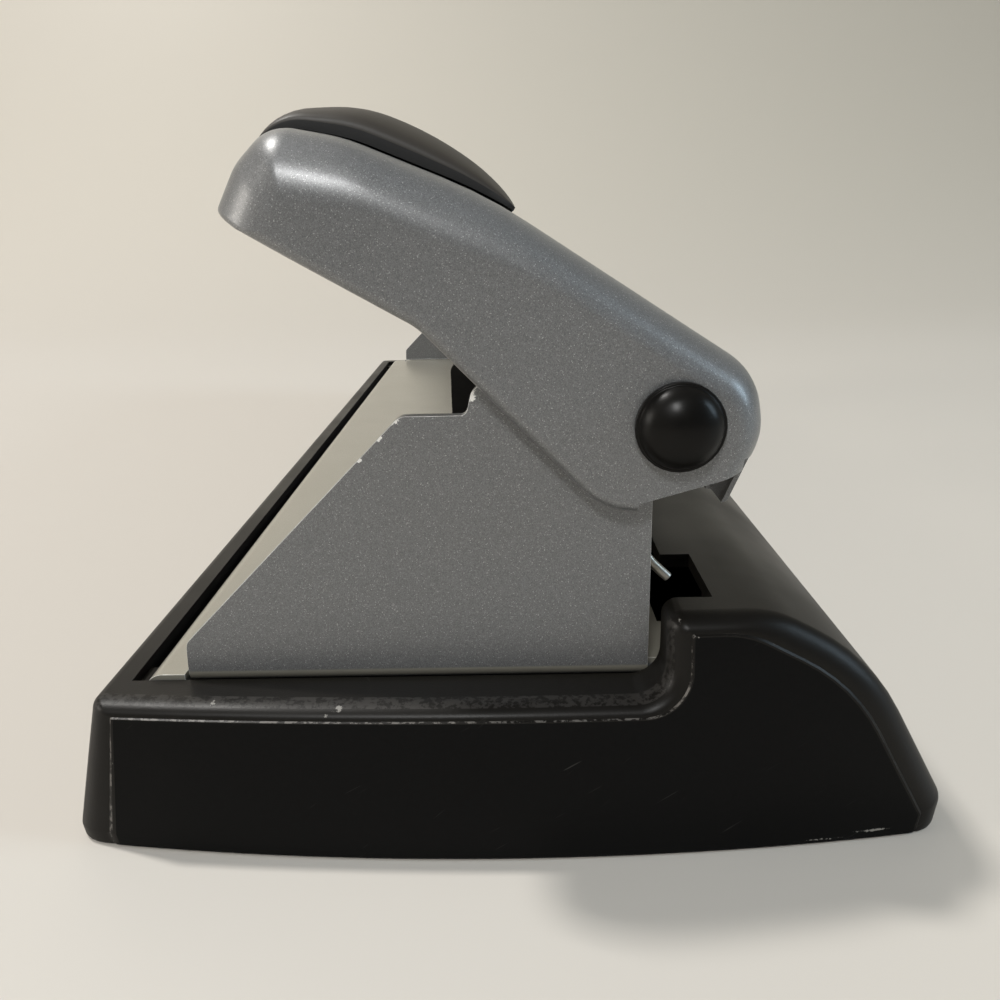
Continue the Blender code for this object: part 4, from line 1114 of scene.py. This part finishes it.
def make_backdrop():
    """Table and wall as one pale sweep, so that no line shows between them."""
    profile = [(-3.0, 0.0), (-0.6, 0.0), (0.0, 0.0), (SWEEP_START, 0.0)]
    for step in range(1, SWEEP_STEPS + 1):
        turn = math.pi / 2 * step / SWEEP_STEPS
        profile.append((SWEEP_START + SWEEP_RADIUS * math.sin(turn), SWEEP_RADIUS * (1 - math.cos(turn))))
    profile += [(SWEEP_START + SWEEP_RADIUS, 1.6), (SWEEP_START + SWEEP_RADIUS, 3.2)]
    form = bmesh.new()
    rows = [[form.verts.new((x, y, z)) for x in (-4.0, -1.0, 0.0, 1.0, 4.0)] for y, z in profile]
    for row, following in zip(rows, rows[1:]):
        for index in range(len(row) - 1):
            form.faces.new((row[index], row[index + 1], following[index + 1], following[index]))
    mesh = new_mesh("backdrop", form)
    mesh.shade_smooth()
    material, make, shader = new_material("pale_backdrop")
    parts = make.node("ShaderNodeSeparateXYZ", Vector=make.place()).outputs
    # Painted light: the table and the wall are painted a little paler on the left, as the light falls there.
    table = make.mix(make.ramp(parts["X"], -0.3, 0.4), (0.60, 0.567, 0.520), (0.56, 0.533, 0.486))
    wall = make.mix(make.ramp(parts["X"], -0.6, 0.5), (0.63, 0.592, 0.523), (0.56, 0.533, 0.466))
    make.feed(shader["Base Color"], make.mix(make.ramp(parts["Y"], 0.15, 1.15), table, wall))
    shader["Roughness"].default_value = 0.5
    shader["Specular IOR Level"].default_value = 0.3
    new_object("backdrop", mesh, [material])


def make_world():
    """A dim pale room, a little brighter above and on the left, and darker on the camera's side."""
    world = bpy.data.worlds.new("studio")
    bpy.context.scene.world = world
    world.use_nodes = True
    make = Shading(world.node_tree)
    background = world.node_tree.nodes["Background"]
    toward = make.node("ShaderNodeTexCoord").outputs["Generated"]
    parts = make.node("ShaderNodeSeparateXYZ", Vector=toward).outputs
    front = make.mix(make.ramp(parts["X"], -0.4, 0.6), (0.09, 0.088, 0.084), (0.11, 0.12, 0.135))
    front = make.mix(make.ramp(parts["X"], -0.25, -0.75), front, (0.20, 0.190, 0.175))
    room = make.mix(make.ramp(parts["Y"], -0.5, 0.4), front, (0.17, 0.163, 0.153))
    above = make.mix(make.ramp(parts["Z"], 0.15, 0.80), room, (0.20, 0.197, 0.190))
    make.feed(background.inputs["Color"], above)
    background.inputs["Strength"].default_value = 1.0


def add_lamp(name, place, size, power, colour):
    """A rectangular lamp that faces the punch."""
    data = bpy.data.lights.new(name, "AREA")
    data.shape = "RECTANGLE"
    data.size, data.size_y = size
    data.energy = power
    data.color = colour
    lamp = bpy.data.objects.new(name, data)
    lamp.location = place
    lamp.rotation_euler = (LAMP_TARGET - Vector(place)).to_track_quat("-Z", "Y").to_euler()
    bpy.context.scene.collection.objects.link(lamp)


def make_lights():
    """A high lamp behind on the left, a low one on the left, one in front and a cool one on the right."""
    add_lamp("key_back_left", (-1.0, 0.42, 2.1), (0.16, 0.16), 34.0, (1.0, 0.975, 0.94))
    add_lamp("low_left", (-1.05, -0.22, 0.34), (0.34, 0.34), 3.4, (1.0, 0.95, 0.88))
    add_lamp("front_above", (-0.20, -1.10, 1.02), (0.24, 0.24), 9.6, (0.99, 0.99, 0.98))
    add_lamp("window_right", (1.13, -0.24, 0.56), (0.34, 0.55), 5.0, (0.66, 0.85, 1.0))


def make_camera():
    """The photograph's camera: its lens, its place and its turn, worked out from the punch's long edges."""
    data = bpy.data.cameras.new("photo_camera")
    data.sensor_width = SENSOR
    data.lens = SENSOR * FOCAL_PIXELS / PHOTO_PIXELS
    data.clip_start = 0.01
    camera = bpy.data.objects.new("photo_camera", data)
    level = Vector((-math.sin(CAMERA_YAW), math.cos(CAMERA_YAW), 0.0)) * math.cos(CAMERA_PITCH)
    forward = level - Vector((0.0, 0.0, math.sin(CAMERA_PITCH)))
    right = forward.cross(Vector((0.0, 0.0, 1.0))).normalized()
    up = right.cross(forward)
    turn = Matrix.Rotation(CAMERA_ROLL, 3, forward)
    right, up = turn @ right, turn @ up
    matrix = Matrix((right, up, -forward)).transposed().to_4x4()
    matrix.translation = CAMERA_PLACE
    camera.matrix_world = matrix
    bpy.context.scene.collection.objects.link(camera)
    bpy.context.scene.camera = camera


make_camera()
make_tray()
make_bed()
make_handle()
make_pad()
make_heads()
make_small_steel()
make_caps()
make_springs()
make_backdrop()
make_world()
make_lights()
bpy.context.scene.view_settings.view_transform = "Standard"
